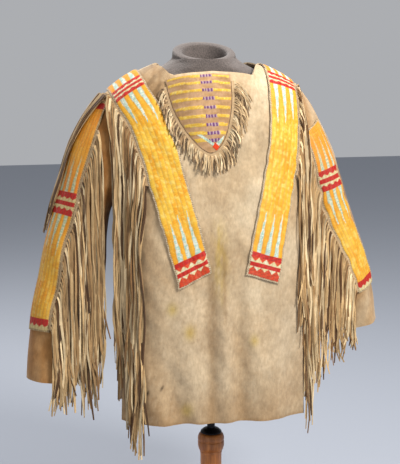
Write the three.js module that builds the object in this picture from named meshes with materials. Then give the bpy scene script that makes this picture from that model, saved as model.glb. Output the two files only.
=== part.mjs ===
// A hide war shirt on a limbless dress form, which stands on a short turned post.
// Millimetres, +Z up. The shirt's front faces -Y and its wearer's right is -X.
// The origin is the centre of the stand's underside.
// Front and back hides are sewn along the shoulders and hang open down the sides.
// Each sleeve is sewn to the shoulder and is open under the arm and at the cuff.
// Quilled strips run over both shoulders and down both sleeves, and a quilled bib hangs at the neck.
import * as THREE from 'three';

// ---- Driving dimensions ----
const HIDE = 2;              // thickness of the hide walls
const BAND = 2.2;            // thickness of the quilled strips and the bib
const SEAM_GAP = 1.6;        // space between two pieces that are sewn together
const LIFT = 2.3;            // space between a strip and the hide under it
const HEM_Z = 300;           // height of the hem above the floor
const SHOULDER_DROP = 190;   // height over which the hides turn over the shoulder
const TURN = 0.68;           // share of a panel's length that is below that turn
const SEAM_Y = 8;            // the shoulder seam lies this far behind the form's axis
const STRIP_WIDTH = 73;      // shoulder strips
const SLEEVE_STRIP_WIDTH = 60;
const STRAND_THICK = 1.8;    // thickness of a fringe strand
const TIP = 0.6;             // width of a strand's end against the rest of it
const STRAND_CLEAR = 4.5;    // space between a hanging strand and the cloth
const REACH = 9;             // cloth this near to a strand sideways or up and down pushes it out
const BAR_HEIGHT = 5;        // the narrow backing that a fringe is cut from
const BAR_THICK = 1.8;
const BAR_GAP = 2.5;         // space between a backing and the strip that it lies beside
const FRONT = -1;
const BACK = 1;
const TURN_POWER = { [FRONT]: 0.8, [BACK]: 0.6 };   // below 1 the turn over the shoulder is squarer
const ROUNDNESS = { [FRONT]: 2.7, [BACK]: 2 };      // above 2 a hide is flatter in the middle

// Half width and depths of the hanging shirt at each height.
const BODY = [
  { z: 300, half: 226, front: 136, back: 122 },
  { z: 450, half: 217, front: 133, back: 119 },
  { z: 600, half: 210, front: 130, back: 117 },
  { z: 740, half: 207, front: 127, back: 116 },
  { z: 850, half: 208, front: 119, back: 113 },
  { z: 950, half: 214, front: 112, back: 108 },
  { z: 1050, half: 225, front: 108, back: 104 },
];

// Height of the shoulder seam at each distance from the middle.
const SHOULDER = [
  { x: 0, z: 1042 }, { x: 70, z: 1036 }, { x: 110, z: 1023 }, { x: 160, z: 1000 }, { x: 205, z: 969 },
  { x: 215, z: 960 },
];

// How far each hide reaches sideways, from the hem (0) to the shoulder seam (1).
const FRONT_EDGE = [
  { v: 0, right: 211, left: 170 }, { v: 0.3, right: 199, left: 172 }, { v: 0.55, right: 183, left: 174 },
  { v: 0.68, right: 178, left: 175 }, { v: 0.84, right: 186, left: 182 }, { v: 0.93, right: 197, left: 191 },
  { v: 1, right: 210, left: 203 },
];
const BACK_EDGE = [
  { v: 0, right: 196, left: 222 }, { v: 0.3, right: 188, left: 208 }, { v: 0.5, right: 180, left: 190 },
  { v: 0.64, right: 177, left: 178 }, { v: 0.84, right: 186, left: 182 }, { v: 0.93, right: 197, left: 191 },
  { v: 1, right: 210, left: 203 },
];

// How much of a hide's length is cut away at the neck, and where the cut climbs to the shoulder seam.
const NECKLINE = { [FRONT]: { cut: 0.115, from: 90, to: 114 }, [BACK]: { cut: 0.134, from: 74, to: 112 } };

// Soft folds of each hide: where one starts and ends, how wide it is, and how far it stands out.
const FRONT_FOLDS = [
  { x0: -172, z0: 480, x1: -142, z1: 300, width: 30, depth: 9 },
  { x0: -140, z0: 450, x1: -92, z1: 300, width: 24, depth: -8 },
  { x0: -158, z0: 640, x1: -152, z1: 430, width: 20, depth: -5 },
  { x0: -34, z0: 700, x1: -30, z1: 330, width: 20, depth: -7 },
  { x0: 4, z0: 660, x1: 0, z1: 300, width: 18, depth: 5 },
  { x0: 34, z0: 690, x1: 30, z1: 300, width: 20, depth: -7 },
  { x0: 78, z0: 520, x1: 84, z1: 300, width: 26, depth: 6 },
  { x0: 138, z0: 560, x1: 142, z1: 300, width: 20, depth: -6 },
  { x0: 82, z0: 960, x1: 70, z1: 800, width: 18, depth: -5 },
  { x0: -118, z0: 980, x1: -84, z1: 880, width: 16, depth: -6 },
];
const BACK_FOLDS = [
  { x0: -150, z0: 560, x1: -158, z1: 300, width: 24, depth: 9 },
  { x0: -96, z0: 600, x1: -104, z1: 300, width: 22, depth: -9 },
  { x0: -30, z0: 700, x1: -36, z1: 300, width: 26, depth: 8 },
  { x0: 34, z0: 640, x1: 44, z1: 300, width: 22, depth: -8 },
  { x0: 104, z0: 620, x1: 110, z1: 300, width: 24, depth: 9 },
  { x0: 166, z0: 540, x1: 170, z1: 300, width: 20, depth: -7 },
  { x0: 60, z0: 930, x1: 90, z1: 760, width: 20, depth: -5 },
  { x0: -70, z0: 930, x1: -96, z1: 760, width: 20, depth: -5 },
];

// Each sleeve from the armhole (0) to the cuff (1): its outer and its inner edge, its middle and its depth.
const RIGHT_SLEEVE = [
  { s: 0, outX: -215, outZ: 969, inX: -208, inZ: 764, y: 5, depth: 60 },
  { s: 0.08, outX: -242, outZ: 938, inX: -213, inZ: 742, y: 3, depth: 64 },
  { s: 0.19, outX: -274, outZ: 890, inX: -218, inZ: 712, y: -2, depth: 66 },
  { s: 0.3, outX: -300, outZ: 832, inX: -223, inZ: 672, y: -8, depth: 65 },
  { s: 0.42, outX: -322, outZ: 762, inX: -227, inZ: 622, y: -18, depth: 64 },
  { s: 0.55, outX: -346, outZ: 686, inX: -232, inZ: 566, y: -30, depth: 62 },
  { s: 0.68, outX: -366, outZ: 606, inX: -241, inZ: 510, y: -44, depth: 60 },
  { s: 0.8, outX: -382, outZ: 528, inX: -255, inZ: 464, y: -58, depth: 57 },
  { s: 0.91, outX: -391, outZ: 460, inX: -271, inZ: 428, y: -70, depth: 54 },
  { s: 1, outX: -396, outZ: 407, inX: -284, inZ: 401, y: -80, depth: 52 },
];
const LEFT_SLEEVE = [
  { s: 0, outX: 193, outZ: 969, inX: 203, inZ: 764, y: 5, depth: 60 },
  { s: 0.08, outX: 216, outZ: 937, inX: 208, inZ: 744, y: 6, depth: 63 },
  { s: 0.19, outX: 240, outZ: 890, inX: 213, inZ: 712, y: 8, depth: 64 },
  { s: 0.3, outX: 262, outZ: 842, inX: 219, inZ: 672, y: 9, depth: 63 },
  { s: 0.42, outX: 284, outZ: 780, inX: 226, inZ: 628, y: 10, depth: 61 },
  { s: 0.55, outX: 308, outZ: 712, inX: 237, inZ: 580, y: 12, depth: 59 },
  { s: 0.68, outX: 332, outZ: 646, inX: 251, inZ: 536, y: 14, depth: 57 },
  { s: 0.8, outX: 350, outZ: 588, inX: 264, inZ: 500, y: 16, depth: 54 },
  { s: 0.91, outX: 364, outZ: 526, inX: 276, inZ: 472, y: 19, depth: 51 },
  { s: 1, outX: 375, outZ: 466, inX: 286, inZ: 449, y: 22, depth: 48 },
];

// Middle of each shoulder strip: v runs from the front hem (0) over the seam (1) to the back hem (2).
// slant is how far the strip is cut and sewn out of square there, in degrees.
const RIGHT_STRIP = [
  { v: 0.37, x: -59, slant: 12 }, { v: 0.6, x: -101, slant: 5 }, { v: 0.7, x: -118, slant: 2 },
  { v: 0.78, x: -136, slant: 0 }, { v: 0.88, x: -163, slant: 0 }, { v: 1, x: -172, slant: 0 },
  { v: 1.14, x: -158, slant: 0 }, { v: 1.3, x: -132, slant: 0 }, { v: 1.5, x: -104, slant: 0 },
];
const LEFT_STRIP = [
  { v: 0.37, x: 80, slant: -8 }, { v: 0.6, x: 116, slant: -4 }, { v: 0.74, x: 138, slant: 0 },
  { v: 0.86, x: 146, slant: 0 }, { v: 1, x: 149, slant: 0 }, { v: 1.14, x: 146, slant: 0 },
  { v: 1.3, x: 128, slant: 0 }, { v: 1.5, x: 106, slant: 0 },
];

// Middle of each sleeve strip: the angle is 0 at the sleeve's outer edge and 90 at its front.
const RIGHT_SLEEVE_STRIP = [
  { s: 0.05, angle: 8 }, { s: 0.12, angle: 18 }, { s: 0.2, angle: 29 }, { s: 0.3, angle: 34 },
  { s: 0.6, angle: 34 }, { s: 0.83, angle: 34 },
];
const LEFT_SLEEVE_STRIP = [
  { s: 0.06, angle: 60 }, { s: 0.2, angle: 73 }, { s: 0.32, angle: 77 }, { s: 0.45, angle: 73 },
  { s: 0.6, angle: 66 }, { s: 0.85, angle: 56 },
];

const BIB = { half: 64, down: 160, widen: 1.25, fall: 0.91 };   // half width at the neck, and full drop
const BIB_X = -31;           // the bib's top is a little to the wearer's right of the middle
const BIB_SWAY = 13;         // and its tip hangs towards the wearer's left by this much
const BIB_TOP_V = 0.872;
const BIB_V_PER_MM = 0.00118;

// Fringes. from and to give the stretch of the strip's edge that a fringe grows from, towards the wearer's
// left, and drops how far down its strands turn to follow the cloth. lengths run from k 0 to k 1 of it.
const FRINGES = {
  rightSleeve: {
    count: 44, width: 2.3, drops: [34], from: 0.99, to: 0.05, kind: 1,
    lengths: [
      { k: 0, length: 170 }, { k: 0.3, length: 270 }, { k: 0.5, length: 350 }, { k: 0.7, length: 445 },
      { k: 0.9, length: 510 }, { k: 1, length: 440 },
    ],
  },
  leftSleeve: {
    count: 42, width: 2, drops: [34], from: 0.05, to: 0.99, kind: 2,
    lengths: [
      { k: 0, length: 590 }, { k: 0.1, length: 560 }, { k: 0.35, length: 420 }, { k: 0.65, length: 250 },
      { k: 1, length: 120 },
    ],
  },
  rightShoulder: {
    count: 20, width: 1.8, drops: [26, 90], from: 0.45, to: 0.26, kind: 3,
    lengths: [{ k: 0, length: 600 }, { k: 0.4, length: 590 }, { k: 0.7, length: 550 }, { k: 1, length: 500 }],
  },
  leftShoulder: {
    count: 10, width: 2, drops: [26, 90], from: 0.27, to: 0.42, kind: 4,
    lengths: [{ k: 0, length: 330 }, { k: 0.5, length: 420 }, { k: 1, length: 300 }],
  },
  bib: {
    count: 44, width: 2.6, drops: [12], stiff: 0.45, kind: 9,
    lengths: [{ k: 0, length: 28 }, { k: 0.5, length: 36 }, { k: 1, length: 42 }],
  },
  rightArm: { count: 20, width: 2.2, root: 0.055, turns: [0.1, 0.17, 0.26] },
};

// Strands that lie along the outer back of the right sleeve: the angle at the armhole and at the loose end.
const ARM_FRINGE = [
  { k: 0, from: -64, to: -44, end: 0.4 }, { k: 0.5, from: -44, to: -24, end: 0.46 },
  { k: 1, from: -26, to: -4, end: 0.44 },
];

// The dress form below the shoulders, and its neck.
const FORM = [
  { z: 352, half: 146, front: 98, back: 92 }, { z: 362, half: 158, front: 106, back: 99 },
  { z: 400, half: 165, front: 111, back: 103 }, { z: 500, half: 164, front: 109, back: 102 },
  { z: 620, half: 148, front: 98, back: 93 }, { z: 740, half: 160, front: 106, back: 98 },
  { z: 840, half: 172, front: 110, back: 101 }, { z: 900, half: 183, front: 102, back: 96 },
  { z: 1000, half: 186, front: 98, back: 92 }, { z: 1100, half: 186, front: 98, back: 92 },
];
const FORM_CLEARANCE = 8;
const FLARE_CLEARANCE = 13;
const NECK = { radius: 66, inner: 46, depth: 0.88, y: 10, z: 1042, tilt: 18, cavity: 34, bead: 9 };
const BARE = { from: 50, to: 74 };   // the form shows this far to each side of the neck's middle
const FLARE = [              // half widths where the shoulders run up into the neck
  { z: 989, half: 158 }, { z: 999, half: 135 }, { z: 1009, half: 113 }, { z: 1018, half: 94 },
  { z: 1027, half: 78 }, { z: 1036, half: 68 },
];

// Stand: an iron rod, its round cap, a turned post with a collar, and a plain round foot.
const ROD = { radius: 8.5, bottom: 236, top: 351.5 };
const CAP = { radius: 23, z: 234 };
const POST = { radius: 23, collar: 28.5, collarTop: 233, collarBottom: 196, bottom: 30 };
const FOOT = { radius: 158, height: 29.5, edge: 9 };

// ---- Small helpers ----
const rad = THREE.MathUtils.degToRad;
const lerp = THREE.MathUtils.lerp;
const clamp = THREE.MathUtils.clamp;
const vec = (x, y, z) => new THREE.Vector3(x, y, z);
const smoothstep = (x, a, b) => THREE.MathUtils.smoothstep(x, a, b);
const steps = count => Array.from({ length: count + 1 }, (_, i) => i / count);

// The form and shirt lean a little to the wearer's right on the post.
const lean = z => 6 - 20 * (z - HEM_Z) / 750;

// A small repeatable variation from -1 to 1 for piece number n.
const vary = (n, kind = 1) => Math.sin(n * 12.9898 + kind * 78.233) * Math.cos(n * 4.1414 + kind * 3.17);

// A smooth curve through one column of a table.
function column(rows, by, key) {
  const slope = i => {
    const a = rows[Math.max(i - 1, 0)];
    const b = rows[Math.min(i + 1, rows.length - 1)];
    return (b[key] - a[key]) / (b[by] - a[by]);
  };
  return at => {
    const t = clamp(at, rows[0][by], rows[rows.length - 1][by]);
    let i = rows.findIndex(row => row[by] >= t);
    i = Math.max(i, 1);
    const a = rows[i - 1];
    const b = rows[i];
    const h = b[by] - a[by];
    const w = (t - a[by]) / h;
    const w2 = w * w;
    const w3 = w2 * w;
    return (2 * w3 - 3 * w2 + 1) * a[key] + (w3 - 2 * w2 + w) * h * slope(i - 1)
      + (3 * w2 - 2 * w3) * b[key] + (w3 - w2) * h * slope(i);
  };
}

const columns = (rows, by, ...keys) => Object.fromEntries(keys.map(key => [key, column(rows, by, key)]));

// One closed mesh from points and faces, turned so that its faces point outwards.
function solid(points, faces) {
  let volume = 0;
  for (const [a, b, c] of faces) volume += points[a].dot(points[b].clone().cross(points[c]));
  const geometry = new THREE.BufferGeometry();
  geometry.setAttribute('position', new THREE.Float32BufferAttribute(points.flatMap(p => p.toArray()), 3));
  geometry.setIndex(faces.flatMap(([a, b, c]) => (volume < 0 ? [a, c, b] : [a, b, c])));
  geometry.computeVertexNormals();
  return geometry;
}

// Two faces between four corners, split along the shorter diagonal.
function quad(faces, points, a, b, c, d) {
  if (points[a].distanceTo(points[c]) <= points[b].distanceTo(points[d])) faces.push([a, b, c], [a, c, d]);
  else faces.push([a, b, d], [b, c, d]);
}

// A wall of even thickness under a grid of outer points. A closed grid joins its last column to its first.
function wall(grid, thickness, closed = false) {
  const rows = grid.length;
  const cols = grid[0].length;
  const col = c => (closed ? (c + cols) % cols : clamp(c, 0, cols - 1));
  const row = r => clamp(r, 0, rows - 1);
  const points = grid.flat();
  for (let r = 0; r < rows; r++) {
    for (let c = 0; c < cols; c++) {
      const across = grid[r][col(c + 1)].clone().sub(grid[r][col(c - 1)]);
      const along = grid[row(r + 1)][c].clone().sub(grid[row(r - 1)][c]);
      const inward = along.cross(across).normalize().multiplyScalar(thickness);
      points.push(grid[r][c].clone().add(inward));
    }
  }
  const outer = (r, c) => r * cols + col(c);
  const inner = (r, c) => rows * cols + outer(r, c);
  const faces = [];
  const lastCol = closed ? cols : cols - 1;
  const lastRow = rows - 1;
  for (let r = 0; r < lastRow; r++) {
    for (let c = 0; c < lastCol; c++) {
      quad(faces, points, outer(r, c), outer(r, c + 1), outer(r + 1, c + 1), outer(r + 1, c));
      quad(faces, points, inner(r + 1, c), inner(r + 1, c + 1), inner(r, c + 1), inner(r, c));
    }
    if (!closed) {
      quad(faces, points, outer(r, 0), outer(r + 1, 0), inner(r + 1, 0), inner(r, 0));
      quad(faces, points, outer(r + 1, lastCol), outer(r, lastCol), inner(r, lastCol), inner(r + 1, lastCol));
    }
  }
  for (let c = 0; c < lastCol; c++) {
    quad(faces, points, outer(0, c + 1), outer(0, c), inner(0, c), inner(0, c + 1));
    quad(faces, points, outer(lastRow, c), outer(lastRow, c + 1), inner(lastRow, c + 1), inner(lastRow, c));
  }
  return solid(points, faces);
}

// A solid between closed rings, with a flat or dished end at each end.
function loft(rings) {
  const count = rings[0].length;
  const points = rings.flat();
  const faces = [];
  for (let r = 0; r < rings.length - 1; r++) {
    for (let c = 0; c < count; c++) {
      const next = (c + 1) % count;
      quad(faces, points, r * count + c, r * count + next, (r + 1) * count + next, (r + 1) * count + c);
    }
  }
  for (const [ring, flip] of [[0, true], [rings.length - 1, false]]) {
    const centre = rings[ring].reduce((sum, p) => sum.add(p), vec(0, 0, 0)).divideScalar(count);
    points.push(centre);
    for (let c = 0; c < count; c++) {
      const next = (c + 1) % count;
      const face = [ring * count + c, ring * count + next, points.length - 1];
      faces.push(flip ? [face[1], face[0], face[2]] : face);
    }
  }
  return solid(points, faces);
}

// ---- The hides ----
const body = columns(BODY, 'z', 'half', 'front', 'back');
const shoulderZ = column(SHOULDER, 'x', 'z');
const frontEdge = columns(FRONT_EDGE, 'v', 'right', 'left');
const backEdge = columns(BACK_EDGE, 'v', 'right', 'left');

function foldDepth(folds, x, z) {
  let sum = 0;
  for (const fold of folds) {
    const k = (fold.z0 - z) / (fold.z0 - fold.z1);
    if (k <= -0.15) continue;
    const middle = lerp(fold.x0, fold.x1, clamp(k, 0, 1.2));
    const fade = smoothstep(k, -0.15, 0.5) * (fold.z1 > HEM_Z + 20 ? 1 - smoothstep(k, 0.7, 1.2) : 1);
    sum += fold.depth * fade * Math.exp(-(((x - middle) / fold.width) ** 2));
  }
  return sum;
}

// How far forward or back a hide hangs at x, below the turn over the shoulder.
function hangDepth(face, x, z) {
  const power = ROUNDNESS[face];
  const round = Math.max(0, 1 - Math.abs(x / body.half(z)) ** power) ** (1 / power);
  return (face === FRONT ? body.front(z) : body.back(z)) * round;
}

// A point of a hide: x across, and v from the hem (0) to the shoulder seam (1).
function hidePoint(face, x, v) {
  const turnZ = shoulderZ(Math.abs(x)) - SHOULDER_DROP;
  const angle = Math.max(0, (v - TURN) / (1 - TURN)) * Math.PI / 2;
  const z = v < TURN ? lerp(HEM_Z, turnZ, v / TURN) : turnZ + SHOULDER_DROP * Math.sin(angle);
  const cap = Math.max(0, Math.cos(angle)) ** TURN_POWER[face];
  const fold = foldDepth(face === FRONT ? FRONT_FOLDS : BACK_FOLDS, x, z) * cap;
  const y = face * (hangDepth(face, x, z) * cap + fold + SEAM_GAP / 2) + SEAM_Y * (1 - cap);
  return vec(x + lean(z), y, z);
}

// The same across both hides: v runs from the front hem (0) to the back hem (2).
const overShoulder = (x, v) => (v <= 1 ? hidePoint(FRONT, x, v) : hidePoint(BACK, x, 2 - v));

// Where a column of a hide ends at the neck: the front is cut lower than the back.
function neckCut(face, x) {
  const { cut, from, to } = NECKLINE[face];
  return 1 - cut * (1 - smoothstep(Math.abs(x), from, to));
}

function hide(face, edge, colCount, rowCount) {
  const spread = rad(72);
  const grid = steps(rowCount).map(k => 1 - (1 - k) ** 1.35).map(k => steps(colCount).map(u => {
    const share = (1 + Math.sin((2 * u - 1) * spread) / Math.sin(spread)) / 2;
    const topX = lerp(-edge.right(1), edge.left(1), share);
    const v = k * neckCut(face, topX);
    return hidePoint(face, lerp(-edge.right(v), edge.left(v), share), v);
  }));
  return wall(face === FRONT ? grid : grid.map(line => line.reverse()), HIDE);
}

// ---- The sleeves ----
// How far up the armhole's edge a sleeve's first ring is sewn, by its angle from the shoulder.
const ARMHOLE = [
  { angle: 0, v: 1 }, { angle: 30, v: 0.9 }, { angle: 60, v: 0.825 }, { angle: 90, v: 0.758 },
  { angle: 120, v: 0.7 },
];
const armholeV = column(ARMHOLE, 'angle', 'v');
const SEWN_TO = 120;
const UNDERARM_Z = 764;
const EASE = 0.24;           // share of the sleeve over which the armhole's shape fades

// side is -1 for the wearer's right and 1 for the left. Angles run 0 at the top, 90 at the front.
function armholePoint(side, angle) {
  const turned = ((angle % 360) + 360) % 360;
  const face = turned <= 180 ? FRONT : BACK;
  const from = turned <= 180 ? turned : 360 - turned;
  const edge = face === FRONT ? frontEdge : backEdge;
  const v = armholeV(Math.min(from, SEWN_TO));
  const reach = (side < 0 ? edge.right(v) : edge.left(v)) + SEAM_GAP;
  const sewn = hidePoint(face, side * reach, v);
  if (from <= SEWN_TO) return sewn;
  const k = rad((from - SEWN_TO) / (180 - SEWN_TO) * 90);
  const under = vec(side * 206 + lean(UNDERARM_Z), 2, UNDERARM_Z);
  return vec(
    lerp(under.x, sewn.x, Math.cos(k)),
    lerp(under.y, sewn.y, Math.cos(k)),
    lerp(sewn.z, under.z, Math.sin(k)),
  );
}

function sleeveSurface(rows, side) {
  const at = columns(rows, 's', 'outX', 'outZ', 'inX', 'inZ', 'y', 'depth');
  const ring = (s, angle) => {
    const c = Math.cos(rad(angle));
    return vec(
      lerp(at.inX(s), at.outX(s), (1 + c) / 2),
      at.y(s) - at.depth(s) * Math.sin(rad(angle)),
      lerp(at.inZ(s), at.outZ(s), (1 + c) / 2),
    );
  };
  return (s, angle) => {
    const fade = Math.max(0, 1 - s / EASE) ** 2;
    const plain = ring(s, angle);
    if (fade === 0) return plain;
    return plain.add(armholePoint(side, angle).sub(ring(0, angle)).multiplyScalar(fade));
  };
}

const sleeves = { right: sleeveSurface(RIGHT_SLEEVE, -1), left: sleeveSurface(LEFT_SLEEVE, 1) };

function sleeve(surface, side) {
  const around = 16;
  const grid = steps(13).map(s => steps(around).slice(0, around).map(a => surface(s, side * a * 360)));
  return wall(grid, HIDE, true);
}

// ---- Bands that lie on a surface ----
// The unit normal of surface(a, b), pointing away from the wearer.
function normalAt(surface, a, b, da, db, side = 1) {
  const ta = surface(a + da, b).sub(surface(a - da, b));
  const tb = surface(a, b + db).sub(surface(a, b - db));
  return ta.cross(tb).normalize().multiplyScalar(side);
}

// The place on surface(a, b) that is offset away from a starting place.
function walk(surface, a, b, offset, da, db) {
  const goal = surface(a, b).add(offset);
  for (let turn = 0; turn < 4; turn++) {
    const here = surface(a, b);
    const ta = surface(a + da, b).sub(here).divideScalar(da);
    const tb = surface(a, b + db).sub(here).divideScalar(db);
    const rest = goal.clone().sub(here);
    const [aa, ab, bb] = [ta.dot(ta), ta.dot(tb), tb.dot(tb)];
    const [ra, rb] = [ta.dot(rest), tb.dot(rest)];
    const det = aa * bb - ab * ab;
    a += (ra * bb - rb * ab) / det;
    b += (rb * aa - ra * ab) / det;
  }
  return [a, b];
}

// A band along a path on a surface, as a grid of its outer points, with the directions at each row.
function bandOn({ surface, da, db, side, path, slant = () => 0, halfWidth, lift, rows, cols }) {
  const grid = [];
  const frames = [];
  for (const k of steps(rows)) {
    const [a, b] = path(k);
    const ahead = surface(...path(Math.min(k + 0.01, 1)));
    const behind = surface(...path(Math.max(k - 0.01, 0)));
    const along = ahead.sub(behind).normalize();
    const out = normalAt(surface, a, b, da, db, side);
    const across = along.clone().cross(out).normalize();
    const sideways = across.clone().addScaledVector(along, Math.tan(rad(slant(k))));
    grid.push(steps(cols).map(u => {
      const offset = sideways.clone().multiplyScalar((2 * u - 1) * halfWidth);
      const place = walk(surface, a, b, offset, da, db);
      return surface(...place).addScaledVector(normalAt(surface, ...place, da, db, side), lift);
    }));
    frames.push({ along, across, out });
  }
  return { grid, frames };
}

function shoulderBand(table, lift = LIFT + BAND, rows = 30) {
  const at = columns(table, 'v', 'x', 'slant');
  const place = k => lerp(table[0].v, table[table.length - 1].v, k);
  const path = k => [at.x(place(k)), place(k)];
  const slant = k => at.slant(place(k));
  const halfWidth = STRIP_WIDTH / 2;
  const surface = overShoulder;
  return bandOn({ surface, da: 1, db: 0.004, side: 1, path, slant, halfWidth, lift, rows, cols: 3 });
}

function sleeveBand(surface, side, table, lift = LIFT + BAND, rows = 16) {
  const angle = column(table, 's', 'angle');
  const path = k => {
    const s = lerp(table[0].s, table[table.length - 1].s, k);
    return [s, angle(s)];
  };
  const halfWidth = SLEEVE_STRIP_WIDTH / 2;
  return bandOn({ surface, da: 0.004, db: 1, side: -side, path, halfWidth, lift, rows, cols: 4 });
}

// The bib hangs from the neck over the front hide. A place on it is given across and down in millimetres.
function bibPlace(across, down) {
  const sway = BIB_SWAY * (down / BIB.down) ** 2;
  return [BIB_X + across + sway, BIB_TOP_V - down * BIB_V_PER_MM];
}

// Round the bib's U-shaped edge: turn 0 is its top corner on the wearer's right, 90 its tip.
function bibEdge(turn) {
  const c = Math.cos(rad(turn));
  const across = -Math.sign(c) * BIB.half * Math.abs(c) ** BIB.widen;
  return { across, down: BIB.down * Math.sin(rad(turn)) ** BIB.fall };
}

function bibGrid(rows = 9, cols = 6) {
  return steps(rows).map(k => {
    const { across, down } = bibEdge(k * 84);
    return steps(cols).map(u => {
      const [x, v] = bibPlace(across * (1 - 2 * u), down);
      return overShoulder(x, v).addScaledVector(normalAt(overShoulder, x, v, 1, 0.004), LIFT + BAND);
    });
  });
}

// ---- Fringes ----
// A fringe is one strip of hide cut into strands below a narrow backing. root(k) gives a place on the
// backing: its point, the direction along it, the way its strands leave it, and the way out from the cloth.
// strand(n, here) gives the centre and the axes of each section of strand n.
function fringe({ root, count, strand }) {
  const points = [];
  const faces = [];
  const cells = 2 * count + 1;
  for (const { p, leave, out } of steps(cells).map(root)) {
    const top = p.clone().addScaledVector(leave, -BAR_HEIGHT);
    const thick = out.clone().multiplyScalar(BAR_THICK);
    points.push(top, top.clone().add(thick), p.clone().add(thick), p.clone());
  }
  const sides = (from, to, corners) => {
    for (const [c, d] of corners) quad(faces, points, from[d], from[c], to[c], to[d]);
  };
  const station = i => [0, 1, 2, 3].map(corner => i * 4 + corner);
  quad(faces, points, 0, 1, 2, 3);
  quad(faces, points, cells * 4 + 3, cells * 4 + 2, cells * 4 + 1, cells * 4);
  for (let cell = 0; cell < cells; cell++) {
    const [near, far] = [station(cell), station(cell + 1)];
    sides(near, far, [[0, 1], [1, 2], [3, 0]]);
    const foot = [near[2], near[3], far[3], far[2]];
    if (cell % 2 === 0) {
      quad(faces, points, foot[1], foot[0], foot[3], foot[2]);
      continue;
    }
    let last = foot;
    for (const { centre, sideways, outwards, half } of strand((cell - 1) / 2, root((cell / 2) / count))) {
      const w = sideways.clone().multiplyScalar(half);
      const t = outwards.clone().multiplyScalar(Math.min(half, STRAND_THICK / 2));
      const first = points.length;
      points.push(
        centre.clone().sub(w).add(t), centre.clone().sub(w).sub(t),
        centre.clone().add(w).sub(t), centre.clone().add(w).add(t),
      );
      const next = [first, first + 1, first + 2, first + 3];
      sides(last, next, [[0, 1], [1, 2], [2, 3], [3, 0]]);
      last = next;
    }
    quad(faces, points, last[3], last[2], last[1], last[0]);
  }
  return solid(points, faces);
}

// Strands that hang: each leaves its backing, follows the cloth under it at the given drops, and hangs free.
function hanging({ count, width, drops, lengths, cloth, kind, stiff = 0 }) {
  const length = column(lengths, 'k', 'length');
  const outwards = vec(0, FRONT, 0);
  return (n, here) => {
    const total = length((n + 0.5) / count) * (1 + 0.09 * vary(n, kind));
    const sideways = here.along.clone().setZ(0).normalize();
    const fall = vec(0, 0, -1).lerp(here.leave, stiff).normalize();
    const start = here.p.clone().addScaledVector(here.out, BAR_THICK / 2).addScaledVector(here.leave, 2.5);
    const sections = [...drops, total];
    const offs = standOffs(cloth, FRONT, start, fall, sections);
    return sections.map((drop, i) => {
      const centre = start.clone().addScaledVector(fall, drop).addScaledVector(outwards, offs[i]);
      const tip = i === drops.length;
      if (tip) centre.addScaledVector(sideways, 0.4 * vary(n, kind + 5));
      return { centre, sideways, outwards, half: width / 2 * (tip ? TIP : 1) };
    });
  };
}

// How far out each section of a strand stands, so that the straight runs between them clear the cloth.
function standOffs(cloth, face, start, fall, drops) {
  const last = drops[drops.length - 1];
  const drift = fall.x * last / 2;
  const nearby = cloth.filter(p => Math.abs(p.x - start.x - drift) < REACH + Math.abs(drift));
  const need = drop => {
    const z = start.z + fall.z * drop;
    const level = nearby.filter(p => Math.abs(p.z - z) < REACH && drop > 3);
    const offs = level.map(p => face * (p.y - start.y - fall.y * drop) + STRAND_CLEAR);
    return Math.max(0, ...offs);
  };
  const stops = steps(40).map(k => ({ drop: k * last, need: need(k * last) }));
  const soFar = drop => Math.max(...stops.filter(stop => stop.drop <= drop + 0.1).map(stop => stop.need));
  const offs = drops.map(soFar);
  for (let i = drops.length - 2; i >= 0; i--) {
    for (const stop of stops) {
      const t = (stop.drop - drops[i]) / (drops[i + 1] - drops[i]);
      if (t > 0 && t < 0.97) offs[i] = Math.max(offs[i], (stop.need - offs[i + 1] * t) / (1 - t));
    }
  }
  return offs;
}

const sampled = (surface, as, bs) => as.flatMap(a => bs.map(b => surface(a, b)));
const frontColumns = steps(60).map(u => lerp(-206, 175, u));
const frontCloth = sampled((x, v) => hidePoint(FRONT, x, v), frontColumns, steps(60));
const sleeveCloth = surface => sampled(surface, steps(60), steps(72).map(a => a * 360));
const rightCloth = [...frontCloth, ...sleeveCloth(sleeves.right)];
const leftCloth = [...frontCloth, ...sleeveCloth(sleeves.left)];

// Places along one edge of a band, from one share of its length to another, for a fringe beside it.
// sign is -1 for the band's first edge and 1 for its last.
function besideBand({ grid, frames }, sign, from, to) {
  const edge = sign < 0 ? 0 : grid[0].length - 1;
  return k => {
    const f = clamp(lerp(from, to, k) * (grid.length - 1), 0, grid.length - 1);
    const i = Math.min(Math.floor(f), grid.length - 2);
    const mix = key => frames[i][key].clone().lerp(frames[i + 1][key], f - i).normalize();
    const leave = mix('across').multiplyScalar(sign);
    const onEdge = grid[i][edge].clone().lerp(grid[i + 1][edge], f - i);
    const p = onEdge.addScaledVector(leave, BAR_GAP + BAR_HEIGHT);
    return { p, along: mix('along').multiplyScalar(sign), leave, out: mix('out') };
  };
}

// A fringe beside a band: its strands hang down the front.
function stripFringe({ count, width, drops, lengths, from, to, kind }, band, sign, cloth) {
  const root = besideBand(band, sign, from, to);
  return fringe({ root, count, strand: hanging({ count, width, drops, lengths, cloth, kind }) });
}

// The bib's short fringe stands out round its edge and droops.
function bibFringe(spec, cloth) {
  const edge = turn => {
    const { across, down } = bibEdge(turn);
    return bibPlace(across, down);
  };
  const root = k => {
    const turn = lerp(5, 175, k);
    const [x, v] = edge(turn);
    const out = normalAt(overShoulder, x, v, 1, 0.004);
    const along = overShoulder(...edge(turn + 2)).sub(overShoulder(...edge(turn - 2))).normalize();
    const leave = along.clone().cross(out).normalize();
    const p = overShoulder(x, v).addScaledVector(out, LIFT).addScaledVector(leave, BAR_GAP + BAR_HEIGHT);
    return { p, along, leave, out };
  };
  return fringe({ root, count: spec.count, strand: hanging({ ...spec, cloth }) });
}

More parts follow.
